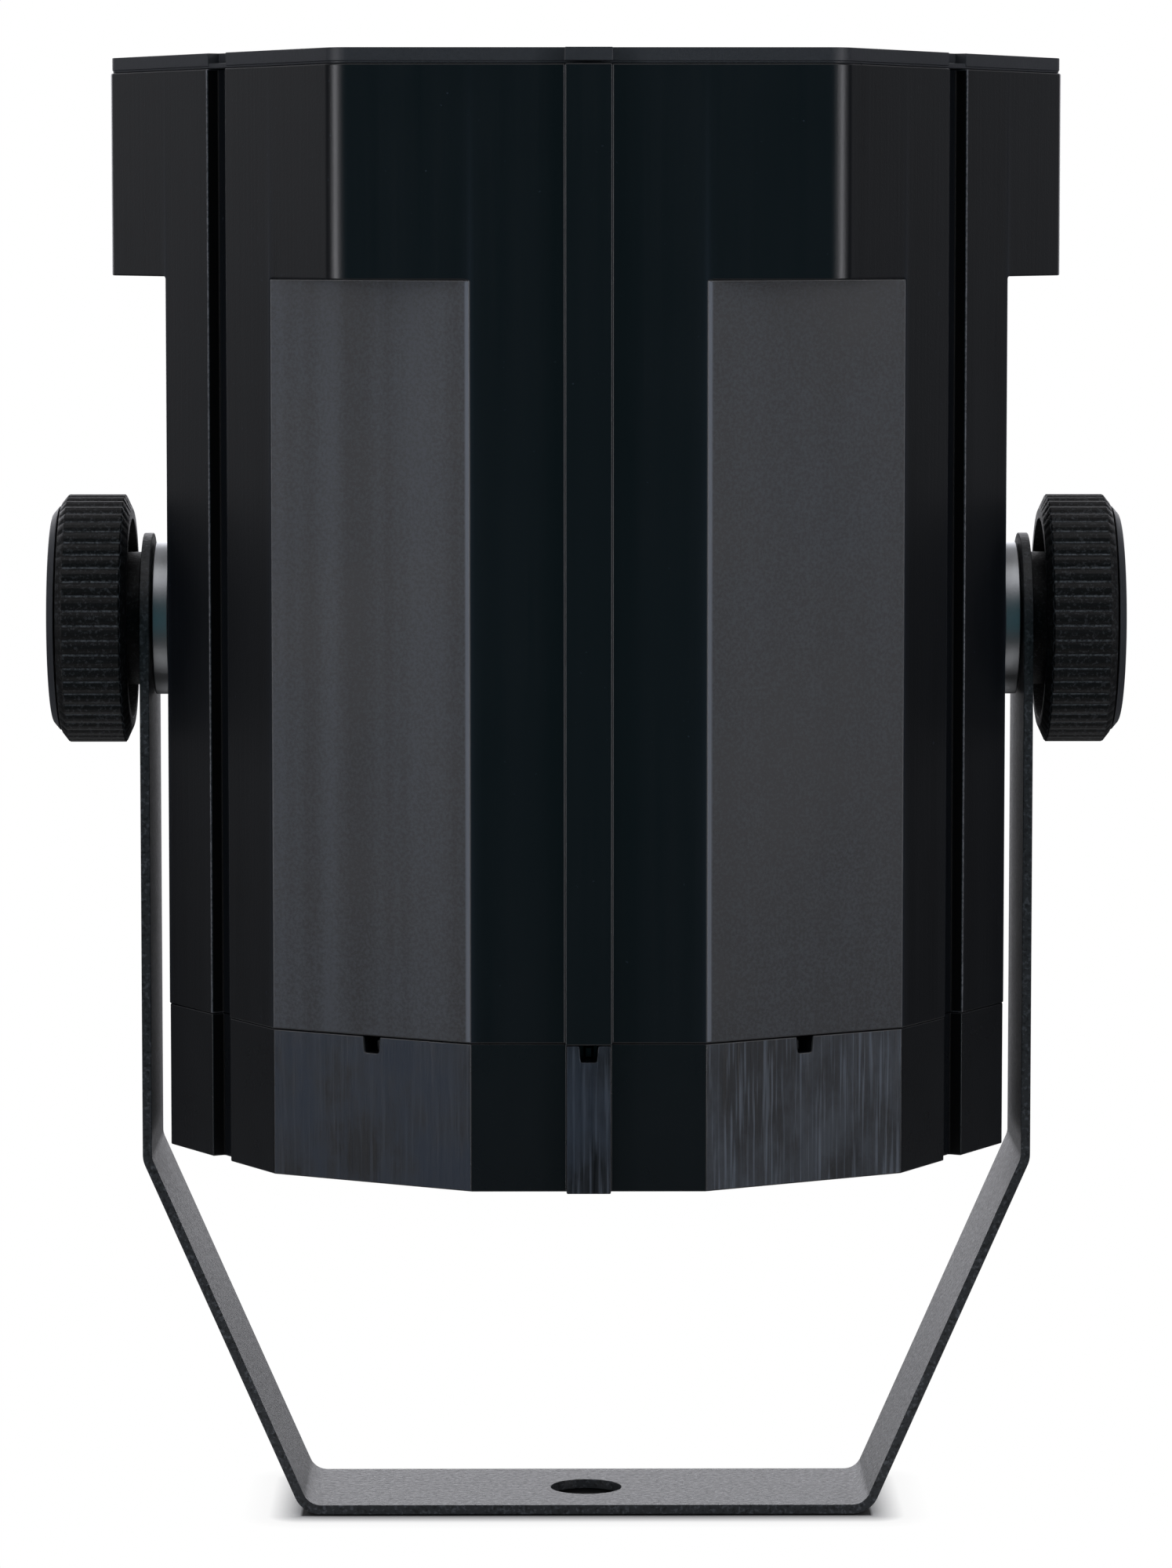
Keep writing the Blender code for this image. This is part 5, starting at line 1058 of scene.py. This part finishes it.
class PROJECTOR_OT_bezel(Operator):
    """Models the plate over the lens head, with its opening and its screw recesses"""

    bl_idname = "projector.bezel"
    bl_label = "Front bezel"

    lip_drop = 0.00035
    lip_overlap = 0.0004
    recess_depth = 0.0015

    def execute(self, context):
        sizes = settings().housing
        low, high = low_of("front_bezel").z, high_of("front_bezel").z
        plate = stepped_prism(
            "bezel_plate", 6, sizes.apothem - sizes.cap_setback, low, high, sizes.rib_width,
            sizes.corner_radius,
        )
        lip = cylinder(
            "lip", (sizes.apothem - 2 * sizes.cap_setback) / math.cos(math.pi / 6),
            low - self.lip_drop, low + self.lip_overlap, sides=6, turn=math.pi / 6,
        )
        round_uprights(lip, sizes.corner_radius / 2, 6)
        merge(plate, [lip], "UNION")
        top = high + OVERSHOOT
        opening = settings().optics.collar_radius + GAP
        cutters = [cylinder("opening", opening, low - OVERSHOOT, top, sides=96)]
        for node in numbered("bezel_screw"):
            screw_low, screw_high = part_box(node)
            at = ((screw_low + screw_high) / 2).xy
            radius = (screw_high.x - screw_low.x) / 2 + GAP
            cutters.append(cylinder("recess", radius, high - self.recess_depth, top, at, 32))
        merge(plate, cutters)
        round_edges(plate, 0.00028)
        smooth(plate)
        settle(plate, "housing", "housing_plastic", "front_bezel", bezel_plastic)
        return {"FINISHED"}


class PROJECTOR_OT_cap(Operator):
    """Models the rear cap with its ribs and snap windows"""

    bl_idname = "projector.cap"
    bl_label = "Rear cap"

    def execute(self, context):
        sizes = settings().housing
        low, high = low_of("rear_cap").z, sizes.seam - sizes.cap_setback / 4
        apothem = sizes.apothem - sizes.cap_setback / 2
        cap = stepped_prism("cap_ring", 12, apothem, low, high, sizes.cap_rib_width)
        hollow = cylinder(
            "hollow", (apothem - sizes.wall) / math.cos(math.pi / 12), low - OVERSHOOT,
            high + OVERSHOOT, sides=12, turn=math.pi / 12,
        )
        merge(cap, [hollow, *(self.window(angle, sizes, high) for angle in SNAP_ANGLES)])
        round_edges(cap, FINE_EDGE, clamp=False)
        cap.data.materials.clear()
        cap.data.materials.append(cap_plastic())
        face = apothem + sizes.rib_height
        ribs = in_strips(FRONT_RIBS, sizes.cap_rib_width, face - 0.0001, face + 0.0001)
        finish_faces(cap, cap_panel_streaks(), on_panels(high))
        finish_faces(cap, cap_panel_streaks(), ribs)
        # The groove walls get the near-black finish: painted shade
        finish_faces(cap, groove_black(), groove_walls(sizes))
        smooth(cap)
        settle(cap, "housing", "cap_plastic", "rear_cap")
        return {"FINISHED"}

    def window(self, angle, sizes, high):
        """A wedge that cuts one snap window, narrower at its foot."""
        half = sizes.window_width / 2
        reach = sizes.apothem + sizes.rib_height + OVERSHOOT
        wedge = block(
            "window", (-half, -reach, high - sizes.window_height),
            (half, -sizes.apothem + sizes.wall + OVERSHOOT, high),
        )
        pick(wedge, "FACE", faces_out(Vector((0.0, 0.0, -1.0))))
        ratio = sizes.window_foot / sizes.window_width
        bpy.ops.transform.resize(value=(ratio, 1.0, 1.0), center_override=(0.0, 0.0, 0.0))
        pick(wedge, "FACE", faces_out(Vector((0.0, 0.0, 1.0))))
        bpy.ops.transform.translate(value=(0.0, 0.0, OVERSHOOT))
        end_edit()
        turn_piece(wedge, angle, "Z")
        return wedge


class PROJECTOR_OT_yoke(Operator):
    """Models the bent strap and the washers beside it"""

    bl_idname = "projector.yoke"
    bl_label = "Yoke"

    def execute(self, context):
        sizes = settings().yoke
        high = high_of("yoke_bracket")
        outer = high.x
        strap = self.strap(sizes, outer, high.z)
        width = sizes.strap_width
        end_centre = high.z - width / 2
        corners = block(
            "arm_corners", (-outer - OVERSHOOT, -width, end_centre),
            (outer + OVERSHOOT, width, end_centre + width),
        )
        merge(corners, [self.across("arm_end", width / 2, end_centre, outer, 96)])
        stud_holes = self.across("stud_holes", sizes.stud_hole, PIVOT, outer, 48)
        bolt_hole = cylinder(
            "bolt_hole", sizes.bolt_hole, -OVERSHOOT, sizes.strap_thickness + OVERSHOOT
        )
        merge(strap, [corners, stud_holes, bolt_hole])
        round_edges(strap, sizes.edge, 3, 35.0, clamp=False)
        smooth(strap, 20.0)
        settle(strap, "yoke", "powder_coat", "yoke_bracket")
        for side in SIDES:
            self.washer(side)
        return {"FINISHED"}

    def across(self, name, radius, height, reach, sides):
        """A cylinder through both arms."""
        half = reach + 2 * OVERSHOOT
        piece = cylinder(name, radius, -half, half, sides=sides)
        turn_piece(piece, 90, "Y")
        move_piece(piece, (0.0, 0.0, height))
        return piece

    def strap(self, sizes, outer, top):
        """The strap's outer line, extruded point by point, then widened and thickened."""
        half = sizes.strap_width / 2
        route = self.route(sizes, outer, top)
        strap = traced("yoke_strap", [Vector((point.x, -half, point.y)) for point in route])
        pick(strap, "EDGE", anything)
        bpy.ops.mesh.extrude_region_move(TRANSFORM_OT_translate={"value": (0.0, 2 * half, 0.0)})
        end_edit()
        first = strap.data.polygons[0]
        outward = first.normal.x * first.center.x > 0
        apply_modifier(
            strap, "SOLIDIFY", thickness=sizes.strap_thickness, offset=-1.0 if outward else 1.0,
            use_even_offset=True,
        )
        tidy_normals(strap)
        return strap

    def route(self, sizes, outer, top):
        """Points of the strap's outer line, with each bend as an arc."""
        half_line = [(outer, top), (outer, sizes.bend_height), (sizes.base_half_width, 0.0)]
        corners = [Vector((-x, z)) for x, z in half_line]
        corners += [Vector(corner) for corner in reversed(half_line)]
        points = [corners[0]]
        steps = 12
        for before, corner, after in zip(corners, corners[1:], corners[2:]):
            arriving, leaving = (corner - before).normalized(), (after - corner).normalized()
            turn = arriving.angle(leaving)
            start = corner - arriving * sizes.bend_radius * math.tan(turn / 2)
            centre = start + Vector((-arriving.y, arriving.x)) * sizes.bend_radius
            for i in range(steps + 1):
                points.append(centre + Matrix.Rotation(turn * i / steps, 2) @ (start - centre))
        points.append(corners[-1])
        return points

    def washer(self, side):
        """A plain turned washer between an arm and the housing."""
        node = "friction_washer_" + side
        low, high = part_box(node)
        radius = (high.z - low.z) / 2
        inner, outer = sorted((abs(low.x), abs(high.x)))
        bore = settings().yoke.stud_hole
        section = [(radius, outer), (radius, inner), (bore, inner), (bore, outer)]
        washer = at_pivot(spun("pivot_washer_" + side, section, 0.00025), side)
        smooth(washer, 30.0)
        settle(washer, "yoke", "bare_steel", node, washer_steel)


class PROJECTOR_OT_knobs(Operator):
    """Models the two ribbed clamp knobs and their end discs"""

    bl_idname = "projector.knobs"
    bl_label = "Clamp knobs"

    grip_length = 0.0112
    stud_bore = 0.0043
    front_dish = 0.0010
    disc_dish = 0.00012
    dish_reach = 0.72
    disc_height = 0.0012
    spigot_radius = 0.006
    spigot_length = 0.0010

    def execute(self, context):
        sizes = settings().knobs
        for side in SIDES:
            self.grip(side, sizes)
            self.disc(side, sizes)
        return {"FINISHED"}

    def grip(self, side, sizes):
        """A turned grip with ribs drawn in its barrel, hollow behind round a hub."""
        node = "knob_grip_" + side
        low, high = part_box(node)
        neck, front = sorted((abs(low.x), abs(high.x)))
        radius = (high.z - low.z) / 2
        back = front - self.grip_length
        cavity = back + sizes.cavity_depth
        section = [
            (self.stud_bore, front - self.front_dish), (sizes.front_radius, front),
            (radius, front - sizes.chamfer), (radius, back + sizes.chamfer),
            (sizes.back_radius, back), (sizes.cavity_radius, back),
            (sizes.cavity_radius, cavity), (sizes.hub_radius, cavity),
            (sizes.hub_radius, neck), (self.stud_bore, neck),
        ]
        steps_round = 4 * sizes.rib_count
        grip = spun("ribbed_grip_" + side, section, sides=steps_round)
        sector = math.tau / steps_round

        def step(vertex):
            """Where a point of the barrel is in its rib: 0 is a valley and 2 is a crest."""
            if vertex.co.xy.length < radius - 0.00005:
                return None
            return round(math.atan2(vertex.co.y, vertex.co.x) / sector) % 4

        for depth, steps in ((sizes.rib_depth, (0,)), (sizes.rib_crown, (1, 3))):
            found = pick(grip, "VERT", lambda v: step(v) in steps)
            require(found, "points between the crests")
            shrink = 1 - depth / radius
            bpy.ops.transform.resize(
                value=(shrink, shrink, 1.0), center_override=(0.0, 0.0, 0.0)
            )
            end_edit()
        round_edges(grip, 0.00010, 2, 24.0)
        smooth(grip, 35.0)
        settle(at_pivot(grip, side), "knob_" + side, "knob_plastic", node)

    def disc(self, side, sizes):
        """The smooth end disc, slightly dished, with a short spigot into the grip."""
        node = "knob_cap_" + side
        low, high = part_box(node)
        end = max(abs(low.x), abs(high.x))
        rim = end - self.disc_height
        spigot_end = rim - self.spigot_length
        section = [
            (0.0, end - self.disc_dish),
            (sizes.disc_radius * self.dish_reach, end - self.disc_dish / 2),
            (sizes.disc_radius, end), ((high.z - low.z) / 2, rim), (self.spigot_radius, rim),
            (self.spigot_radius, spigot_end), (0.0, spigot_end),
        ]
        disc = spun("grip_disc_" + side, section, 0.0003, open_ends=True)
        smooth(disc, 25.0)
        settle(at_pivot(disc, side), "knob_" + side, "knob_plastic", node, bezel_plastic)


class PROJECTOR_OT_objective(Operator):
    """Models the focus ring, the lens tube, its lock ring and the front lens"""

    bl_idname = "projector.objective"
    bl_label = "Objective"

    collar_bore = 0.0268
    skirt_radius = 0.0300
    flange_height = 0.0042
    neck_radius = 0.0265
    shoulder_height = 0.0320
    rear_bore = 0.0270
    rear_seat = 0.0049
    light_bore = 0.0222
    lens_recess = 0.0110
    lock_width = 0.0022
    lock_bevel = 0.0006
    rim_height = 0.0027
    ground_rim = 0.0030

    def execute(self, context):
        sizes = settings().optics
        self.collar(sizes)
        self.tube(sizes)
        self.lock_ring()
        self.lens()
        return {"FINISHED"}

    def collar(self, sizes):
        """The focus ring, held under the bezel by its flange, with finger notches."""
        low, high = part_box("focus_ring")
        top = low_of("front_bezel").z - GAP
        foot = top - self.flange_height
        section = [
            (sizes.collar_radius, high.z), (sizes.collar_radius, top), (high.x, top),
            (high.x, foot), (self.skirt_radius, foot), (self.skirt_radius, low.z),
            (self.collar_bore, low.z), (self.collar_bore, high.z),
        ]
        collar = spun("focus_collar", section, 0.0004)
        notches = []
        for i in range(sizes.notch_count):
            outward, _ = facing(i * 360 / sizes.notch_count)
            notches.append(cylinder(
                "notch", sizes.notch_radius, high.z - sizes.notch_depth, high.z + OVERSHOOT,
                (outward * self.collar_bore).xy, 24,
            ))
        merge(collar, notches)
        smooth(collar, 30.0)
        settle(collar, "focus", "dark_plastic", "focus_ring")

    def tube(self, sizes):
        """The lens tube, narrower where the focus ring goes round it."""
        low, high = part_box("lens_tube")
        shoulder = low.z + self.shoulder_height
        seat = low.z + self.rear_seat
        ledge = high.z - self.lens_recess
        section = [
            (self.neck_radius, high.z), (self.neck_radius, shoulder),
            (self.skirt_radius, shoulder), (self.skirt_radius, low.z),
            (self.rear_bore, low.z), (self.rear_bore, seat), (self.light_bore, seat),
            (self.light_bore, ledge), (sizes.neck_bore, ledge), (sizes.neck_bore, high.z),
        ]
        tube = spun("objective_tube", section, 0.0003)
        smooth(tube, 30.0)
        settle(tube, "objective", "black_aluminium", "lens_tube")

    def lock_ring(self):
        """The slotted ring that holds the front lens."""
        low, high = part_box("lens_retainer")
        outer = high.x
        inner = outer - self.lock_width
        section = [
            (outer, high.z), (outer, low.z), (inner, low.z), (inner + self.lock_bevel, high.z),
        ]
        lock = spun("lens_lock_ring", section, FINE_EDGE)
        half_width, half_length, depth = 0.0006, 0.0012, 0.0007
        slots = []
        for side in (-1, 1):
            middle = side * (outer - self.lock_width / 2)
            slots.append(block(
                "slot", (-half_width, middle - half_length, high.z - depth),
                (half_width, middle + half_length, high.z + OVERSHOOT),
            ))
        merge(lock, slots)
        smooth(lock, 30.0)
        settle(lock, "objective", "black_aluminium", "lens_retainer")

    def lens(self):
        """The front lens: a ground rim with a smooth dome above it."""
        low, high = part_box("front_lens")
        radius = high.x
        rim = low.z + self.rim_height
        dome_edge = radius - self.ground_rim
        crown = high.z - rim
        sphere = (dome_edge**2 + crown**2) / (2 * crown)
        spread = math.asin(dome_edge / sphere)
        steps = 20
        section = [(0.0, high.z)]
        for i in range(1, steps + 1):
            turn = spread * i / steps
            drop = sphere * (1 - math.cos(turn))
            section.append((sphere * math.sin(turn), high.z - drop))
        section += [(radius, rim), (radius, low.z), (0.0, low.z)]
        lens = spun("front_element", section, open_ends=True)
        smooth(lens, 20.0)
        settle(lens, "objective", "clear_glass", "front_lens")


class PROJECTOR_OT_screws(Operator):
    """Models the cross-recessed screws of the bezel, the rear panel and the chassis"""

    bl_idname = "projector.screws"
    bl_label = "Screws"

    head = [(0.0, 0.0), (0.0016, -0.00005), (0.0024, -0.0004), (0.0027, -0.0008),
            (0.0027, -0.0012)]
    shank = [(0.0014, -0.0012), (0.0014, -0.0076), (0.0008, -0.0082), (0.0, -0.0082)]
    recess_reach = 0.0013
    recess_half_width = 0.0003
    recess_depth = 0.0007

    def execute(self, context):
        master = self.master()
        for kind, slot in (
            ("bezel_screw", "black_screw"),
            ("panel_screw", "black_screw"),
            ("chassis_screw", "bare_steel"),
        ):
            for node in numbered(kind):
                low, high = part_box(node)
                middle = (low + high) / 2
                screw = copy_piece(master, node.replace("screw_", "screw_cross_"))
                seat = high.z
                if kind != "bezel_screw":
                    turn_piece(screw, 180, "X")
                    seat = low.z
                move_piece(screw, (middle.x, middle.y, seat))
                settle(screw, "housing", slot, node)
        bpy.data.objects.remove(master, do_unlink=True)
        return {"FINISHED"}

    def master(self):
        """A pan-head screw whose head's top is at the origin and whose shank points down."""
        screw = spun("screw_master", self.head + self.shank, 0.0001, 48, open_ends=True)
        long, short = self.recess_reach, self.recess_half_width
        merge(screw, [
            block("recess", (-x, -y, -self.recess_depth), (x, y, OVERSHOOT))
            for x, y in ((long, short), (short, long))
        ])
        smooth(screw, 30.0)
        return screw


class PROJECTOR_OT_connectors(Operator):
    """Models the sockets, the buttons and the softened edges behind the rear panel"""

    bl_idname = "projector.connectors"
    bl_label = "Rear panel"

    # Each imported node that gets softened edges, with its body and its rounding
    softened = {
        "power_inlet": ("housing", 0.00025),
        "display_window": ("housing", FINE_EDGE),
        "fuse_drawer": ("fuse_slide", FINE_EDGE),
        "gobo_holder": ("gobo_slide", FINE_EDGE),
    }
    shell_radius = 0.0119
    socket_bore = 0.0095
    flange_bore = 0.0107
    flange_thickness = 0.0012
    flange_corner = 0.002
    input_floor = 0.015
    output_floor = 0.003
    pin_circle = 0.0042
    pin_angles = (90, 210, 330)
    pin_radius = 0.0012
    pin_setback = 0.0025
    contact_radius = 0.0015
    contact_depth = 0.012
    # Radii with heights from the button's inner end, and with heights from its outer end
    button_flange = [(0.0, 0.0), (0.0038, 0.0), (0.0038, -0.0008), (0.0030, -0.0008)]
    button_end = [(0.0030, 0.0005), (0.0026, 0.0001), (0.0, 0.0)]

    def execute(self, context):
        slots = {part["node"]: part["material_slot"] for part in frame["record"]["subparts"]}
        for node, (body, width) in self.softened.items():
            copy = self.merged_copy(node)
            round_edges(copy, width)
            smooth(copy, 20.0)
            copy.data.materials.clear()
            finish = display_glass if node == "display_window" else None
            settle(copy, body, slots[node], node, finish)
        self.data_socket("dmx_in_socket", "data_input", True)
        self.data_socket("dmx_out_socket", "data_output", False)
        for node in numbered("menu_button"):
            self.button(node)
        return {"FINISHED"}

    def merged_copy(self, node):
        """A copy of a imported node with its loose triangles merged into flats."""
        copy = copy_piece(frame["nodes"][node], node + "_softened")
        copy.parent = None
        for key in [key for key in copy.keys() if key.startswith("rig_")]:
            del copy[key]
        weld(copy, 0.5)
        return copy

    def data_socket(self, node, name, has_pins):
        """A round socket with a square flange: pins in the input, contacts in the output."""
        low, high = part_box(node)
        middle = (low + high) / 2
        outer = low.z
        floor = outer + (self.input_floor if has_pins else self.output_floor)
        bore, radius = self.socket_bore, self.shell_radius
        section = [
            (radius, outer), (radius, high.z), (0.0, high.z), (0.0, floor), (bore, floor),
            (bore, outer),
        ]
        shell = spun(name, section, 0.0, 96)
        move_piece(shell, (middle.x, middle.y, 0.0))
        flange = block(
            "flange", (low.x, low.y, outer), (high.x, high.y, outer + self.flange_thickness)
        )
        round_uprights(flange, self.flange_corner, 8)
        hole = cylinder(
            "bore", self.flange_bore, outer - OVERSHOOT, outer + 2 * OVERSHOOT, middle.xy, 96
        )
        merge(flange, [hole])
        merge(shell, [flange], "UNION")
        if has_pins:
            pin = ("pin", self.pin_radius, outer + self.pin_setback, floor + OVERSHOOT / 2)
        else:
            pin = ("contact", self.contact_radius, floor - OVERSHOOT, outer + self.contact_depth)
        pins = []
        for angle in self.pin_angles:
            turn = math.radians(angle)
            x = middle.x + self.pin_circle * math.cos(turn)
            y = middle.y + self.pin_circle * math.sin(turn)
            pins.append(cylinder(*pin, (x, y), 24))
        merge(shell, pins, "UNION" if has_pins else "DIFFERENCE")
        round_edges(shell, FINE_EDGE, 2, 35.0, clamp=False)
        smooth(shell, 30.0)
        settle(shell, "housing", "dark_plastic", node)

    def button(self, node):
        """A menu button with a flange inside and a rounded end outside."""
        low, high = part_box(node)
        middle = (low + high) / 2
        number = node[-1]
        section = [(radius, high.z + level) for radius, level in self.button_flange]
        section += [(radius, low.z + level) for radius, level in self.button_end]
        button = spun("menu_key_" + number, section, 0.00015, 48, open_ends=True)
        smooth(button, 30.0)
        move_piece(button, (middle.x, middle.y, 0.0))
        settle(button, "button_" + number, "button_rubber", node)


class PROJECTOR_OT_stage(Operator):
    """Sets up the floor, the surroundings, the lamp and the camera"""

    bl_idname = "projector.stage"
    bl_label = "Stage"

    # The focal length and the picture's height are in pixels, the sensor's height in millimetres
    focal_length = 7839.0
    picture_height = 2000.0
    sensor = 36.0
    camera_place = (-0.00593, -0.9867, 0.2078)
    camera_dip = 0.0923
    camera_swing = -0.0060
    lamp_place = (0.0, -0.1, 1.5)
    lamp_size = (1.4, 1.0)

    def execute(self, context):
        self.camera(context.scene)
        self.surroundings(context.scene)
        self.floor()
        self.lamp(context.scene)
        context.scene.view_settings.view_transform = "Standard"
        return {"FINISHED"}

    def camera(self, scene):
        """The camera, a little above the object and looking slightly down."""
        data = bpy.data.cameras.new("camera")
        data.sensor_fit = "VERTICAL"
        data.sensor_height = self.sensor
        data.lens = self.focal_length * self.sensor / self.picture_height
        data.clip_start = 0.01
        camera = bpy.data.objects.new("camera", data)
        camera.location = self.camera_place
        camera.rotation_euler = (math.pi / 2 - self.camera_dip, 0.0, self.camera_swing)
        scene.collection.objects.link(camera)
        scene.camera = camera

    def surroundings(self, scene):
        """White to the camera; to everything else a studio that is dark in front."""
        stage = settings().stage
        world = bpy.data.worlds.new("studio")
        world.use_nodes = True
        scene.world = world
        work = NodeWork(world.node_tree)
        direction = work.add("ShaderNodeTexCoord", output="Generated")
        across, depth, height = (work.axis(name, direction) for name in "XYZ")
        turned = depth * 0.5 + 0.5
        front = work.ramp(
            turned, (0.0, 0.013), (0.07, 0.015), (0.14, 0.055), (0.20, 0.18), (0.237, 0.34),
            (0.244, 1.0), (0.256, 1.0), (0.263, 0.34), (0.30, 0.18), (0.38, 0.04), (0.46, 0.0),
        )
        back = work.ramp(
            turned, (0.55, 0.0), (0.66, 0.045), (0.82, 0.045), (0.89, 0.20), (0.94, 0.58),
            (1.0, 0.88),
        )
        below = work.ramp(height * 0.5 + 0.5, (0.40, 0.10), (0.46, 0.35), (0.52, 1.0))
        above = work.ramp(height, (0.4, 0.0), (0.8, 0.08), (1.0, 0.15))
        level = work.ramp(height, (0.12, 1.0), (0.35, 0.45), (0.7, 0.15))
        light = front * level * 3.4 + back * below * (1.0 - across * stage.lean) + above
        teal, neutral = (0.30, 0.74, 0.88, 1.0), (0.95, 0.95, 1.0, 1.0)
        neutral_part = work.ramp(turned, (0.06, 0.0), (0.12, 1.0))
        soft = work.add("ShaderNodeBackground", inputs={
            "Color": work.blend(neutral_part, teal, neutral), "Strength": light * stage.fill,
        })
        white = work.add("ShaderNodeBackground", inputs={"Color": (1.0, 1.0, 1.0, 1.0)})
        output = work.tree.nodes["World Output"].inputs["Surface"]
        work.feed(output, work.mix_shaders(work.camera_ray(), soft, white))

    def floor(self):
        """A round pale floor that fades into the white, keeps the shadow and is clear below."""
        begin()
        bpy.ops.mesh.primitive_circle_add(
            vertices=96, radius=0.45, fill_type="NGON", location=(0.0, 0.0, -0.0002)
        )
        floor = named("floor")
        floor.data.materials.append(self.floor_finish())

    def floor_finish(self):
        """Pale to the camera near the foot, with a painted shadow that goes nearly black under the foot itself,
        and glowing white beyond it.
        """
        finish = Finish("floor", (0.82, 0.82, 0.82, 1.0), 0.7, specular_ior_level=0.2)
        seen = finish.camera_ray()
        place = finish.place()
        near = finish.vector("LENGTH", place, output="Value")
        near = finish.ramp(near * 5.0, (0.7, 0.85), (0.95, 0.06))
        yoke = settings().yoke
        foot = (yoke.base_half_width, yoke.strap_width / 2, 1.0)
        beyond = finish.vector("SUBTRACT", finish.vector("ABSOLUTE", place), foot)
        beyond = finish.vector("MAXIMUM", beyond, (0.0, 0.0, 0.0))
        distance = finish.vector("LENGTH", beyond, output="Value")
        fade = finish.ramp(
            distance * 100.0, (0.0, 0.0), (0.15, 0.25), (0.55, 0.92), (1.0, 1.0)
        )
        # Painted shadow: to the camera the floor is nearly black under the foot and turns pale within half a
        # millimetre of it
        painted_foot_shadow = finish.ramp(distance * 1000.0, (0.0, 0.02), (0.5, 0.82))
        finish.colour(finish.blend(seen, near, painted_foot_shadow))
        glow = finish.add("ShaderNodeEmission")
        glow_part = fade * (seen + (1.0 - seen) * near * 0.25)
        lit = finish.mix_shaders(glow_part, Wire(finish, finish.shader.outputs[0]), glow)
        from_below = finish.add("ShaderNodeNewGeometry", output="Backfacing")
        clear = finish.add("ShaderNodeBsdfTransparent")
        output = finish.tree.nodes["Material Output"].inputs["Surface"]
        finish.feed(output, finish.mix_shaders(from_below * seen, lit, clear))
        return finish.material

    def lamp(self, scene):
        """A broad soft lamp above the object."""
        data = bpy.data.lights.new("top_lamp", "AREA")
        data.shape = "RECTANGLE"
        data.size, data.size_y = self.lamp_size
        data.energy = settings().stage.top_light
        lamp = bpy.data.objects.new("top_lamp", data)
        lamp.location = self.lamp_place
        scene.collection.objects.link(lamp)


class PROJECTOR_PT_pieces(Panel):
    """The pieces of the projector, each with a button that builds it"""

    bl_idname = "PROJECTOR_PT_pieces"
    bl_label = "Gobo projector"
    bl_space_type = "VIEW_3D"
    bl_region_type = "UI"
    bl_category = "Projector"

    def draw(self, context):
        for operator in OPERATORS:
            self.layout.operator(operator.bl_idname)
        for group in ("housing", "yoke", "knobs", "optics", "colours", "stage"):
            box = self.layout.box()
            box.label(text=group.title())
            values = getattr(context.scene.gobo_projector, group)
            for key in values.__annotations__:
                box.prop(values, key, text=key.replace("_", " ").capitalize())


OPERATORS = (
    PROJECTOR_OT_finishes,
    PROJECTOR_OT_housing,
    PROJECTOR_OT_bezel,
    PROJECTOR_OT_cap,
    PROJECTOR_OT_yoke,
    PROJECTOR_OT_knobs,
    PROJECTOR_OT_objective,
    PROJECTOR_OT_screws,
    PROJECTOR_OT_connectors,
    PROJECTOR_OT_stage,
)
GROUPS = (
    HousingSizes, YokeSizes, KnobSizes, OpticsSizes, FinishColours, StageSettings,
    ProjectorSettings,
)
CLASSES = (*GROUPS, *OPERATORS, PROJECTOR_PT_pieces)


def register():
    for cls in CLASSES:
        bpy.utils.register_class(cls)
    bpy.types.Scene.gobo_projector = PointerProperty(type=ProjectorSettings)


def unregister():
    del bpy.types.Scene.gobo_projector
    for cls in reversed(CLASSES):
        bpy.utils.unregister_class(cls)


def main():
    register()
    for operator in OPERATORS:
        name = operator.bl_idname.split(".")[1]
        getattr(bpy.ops.projector, name)()
    begin()


if __name__ == "__main__":
    main()
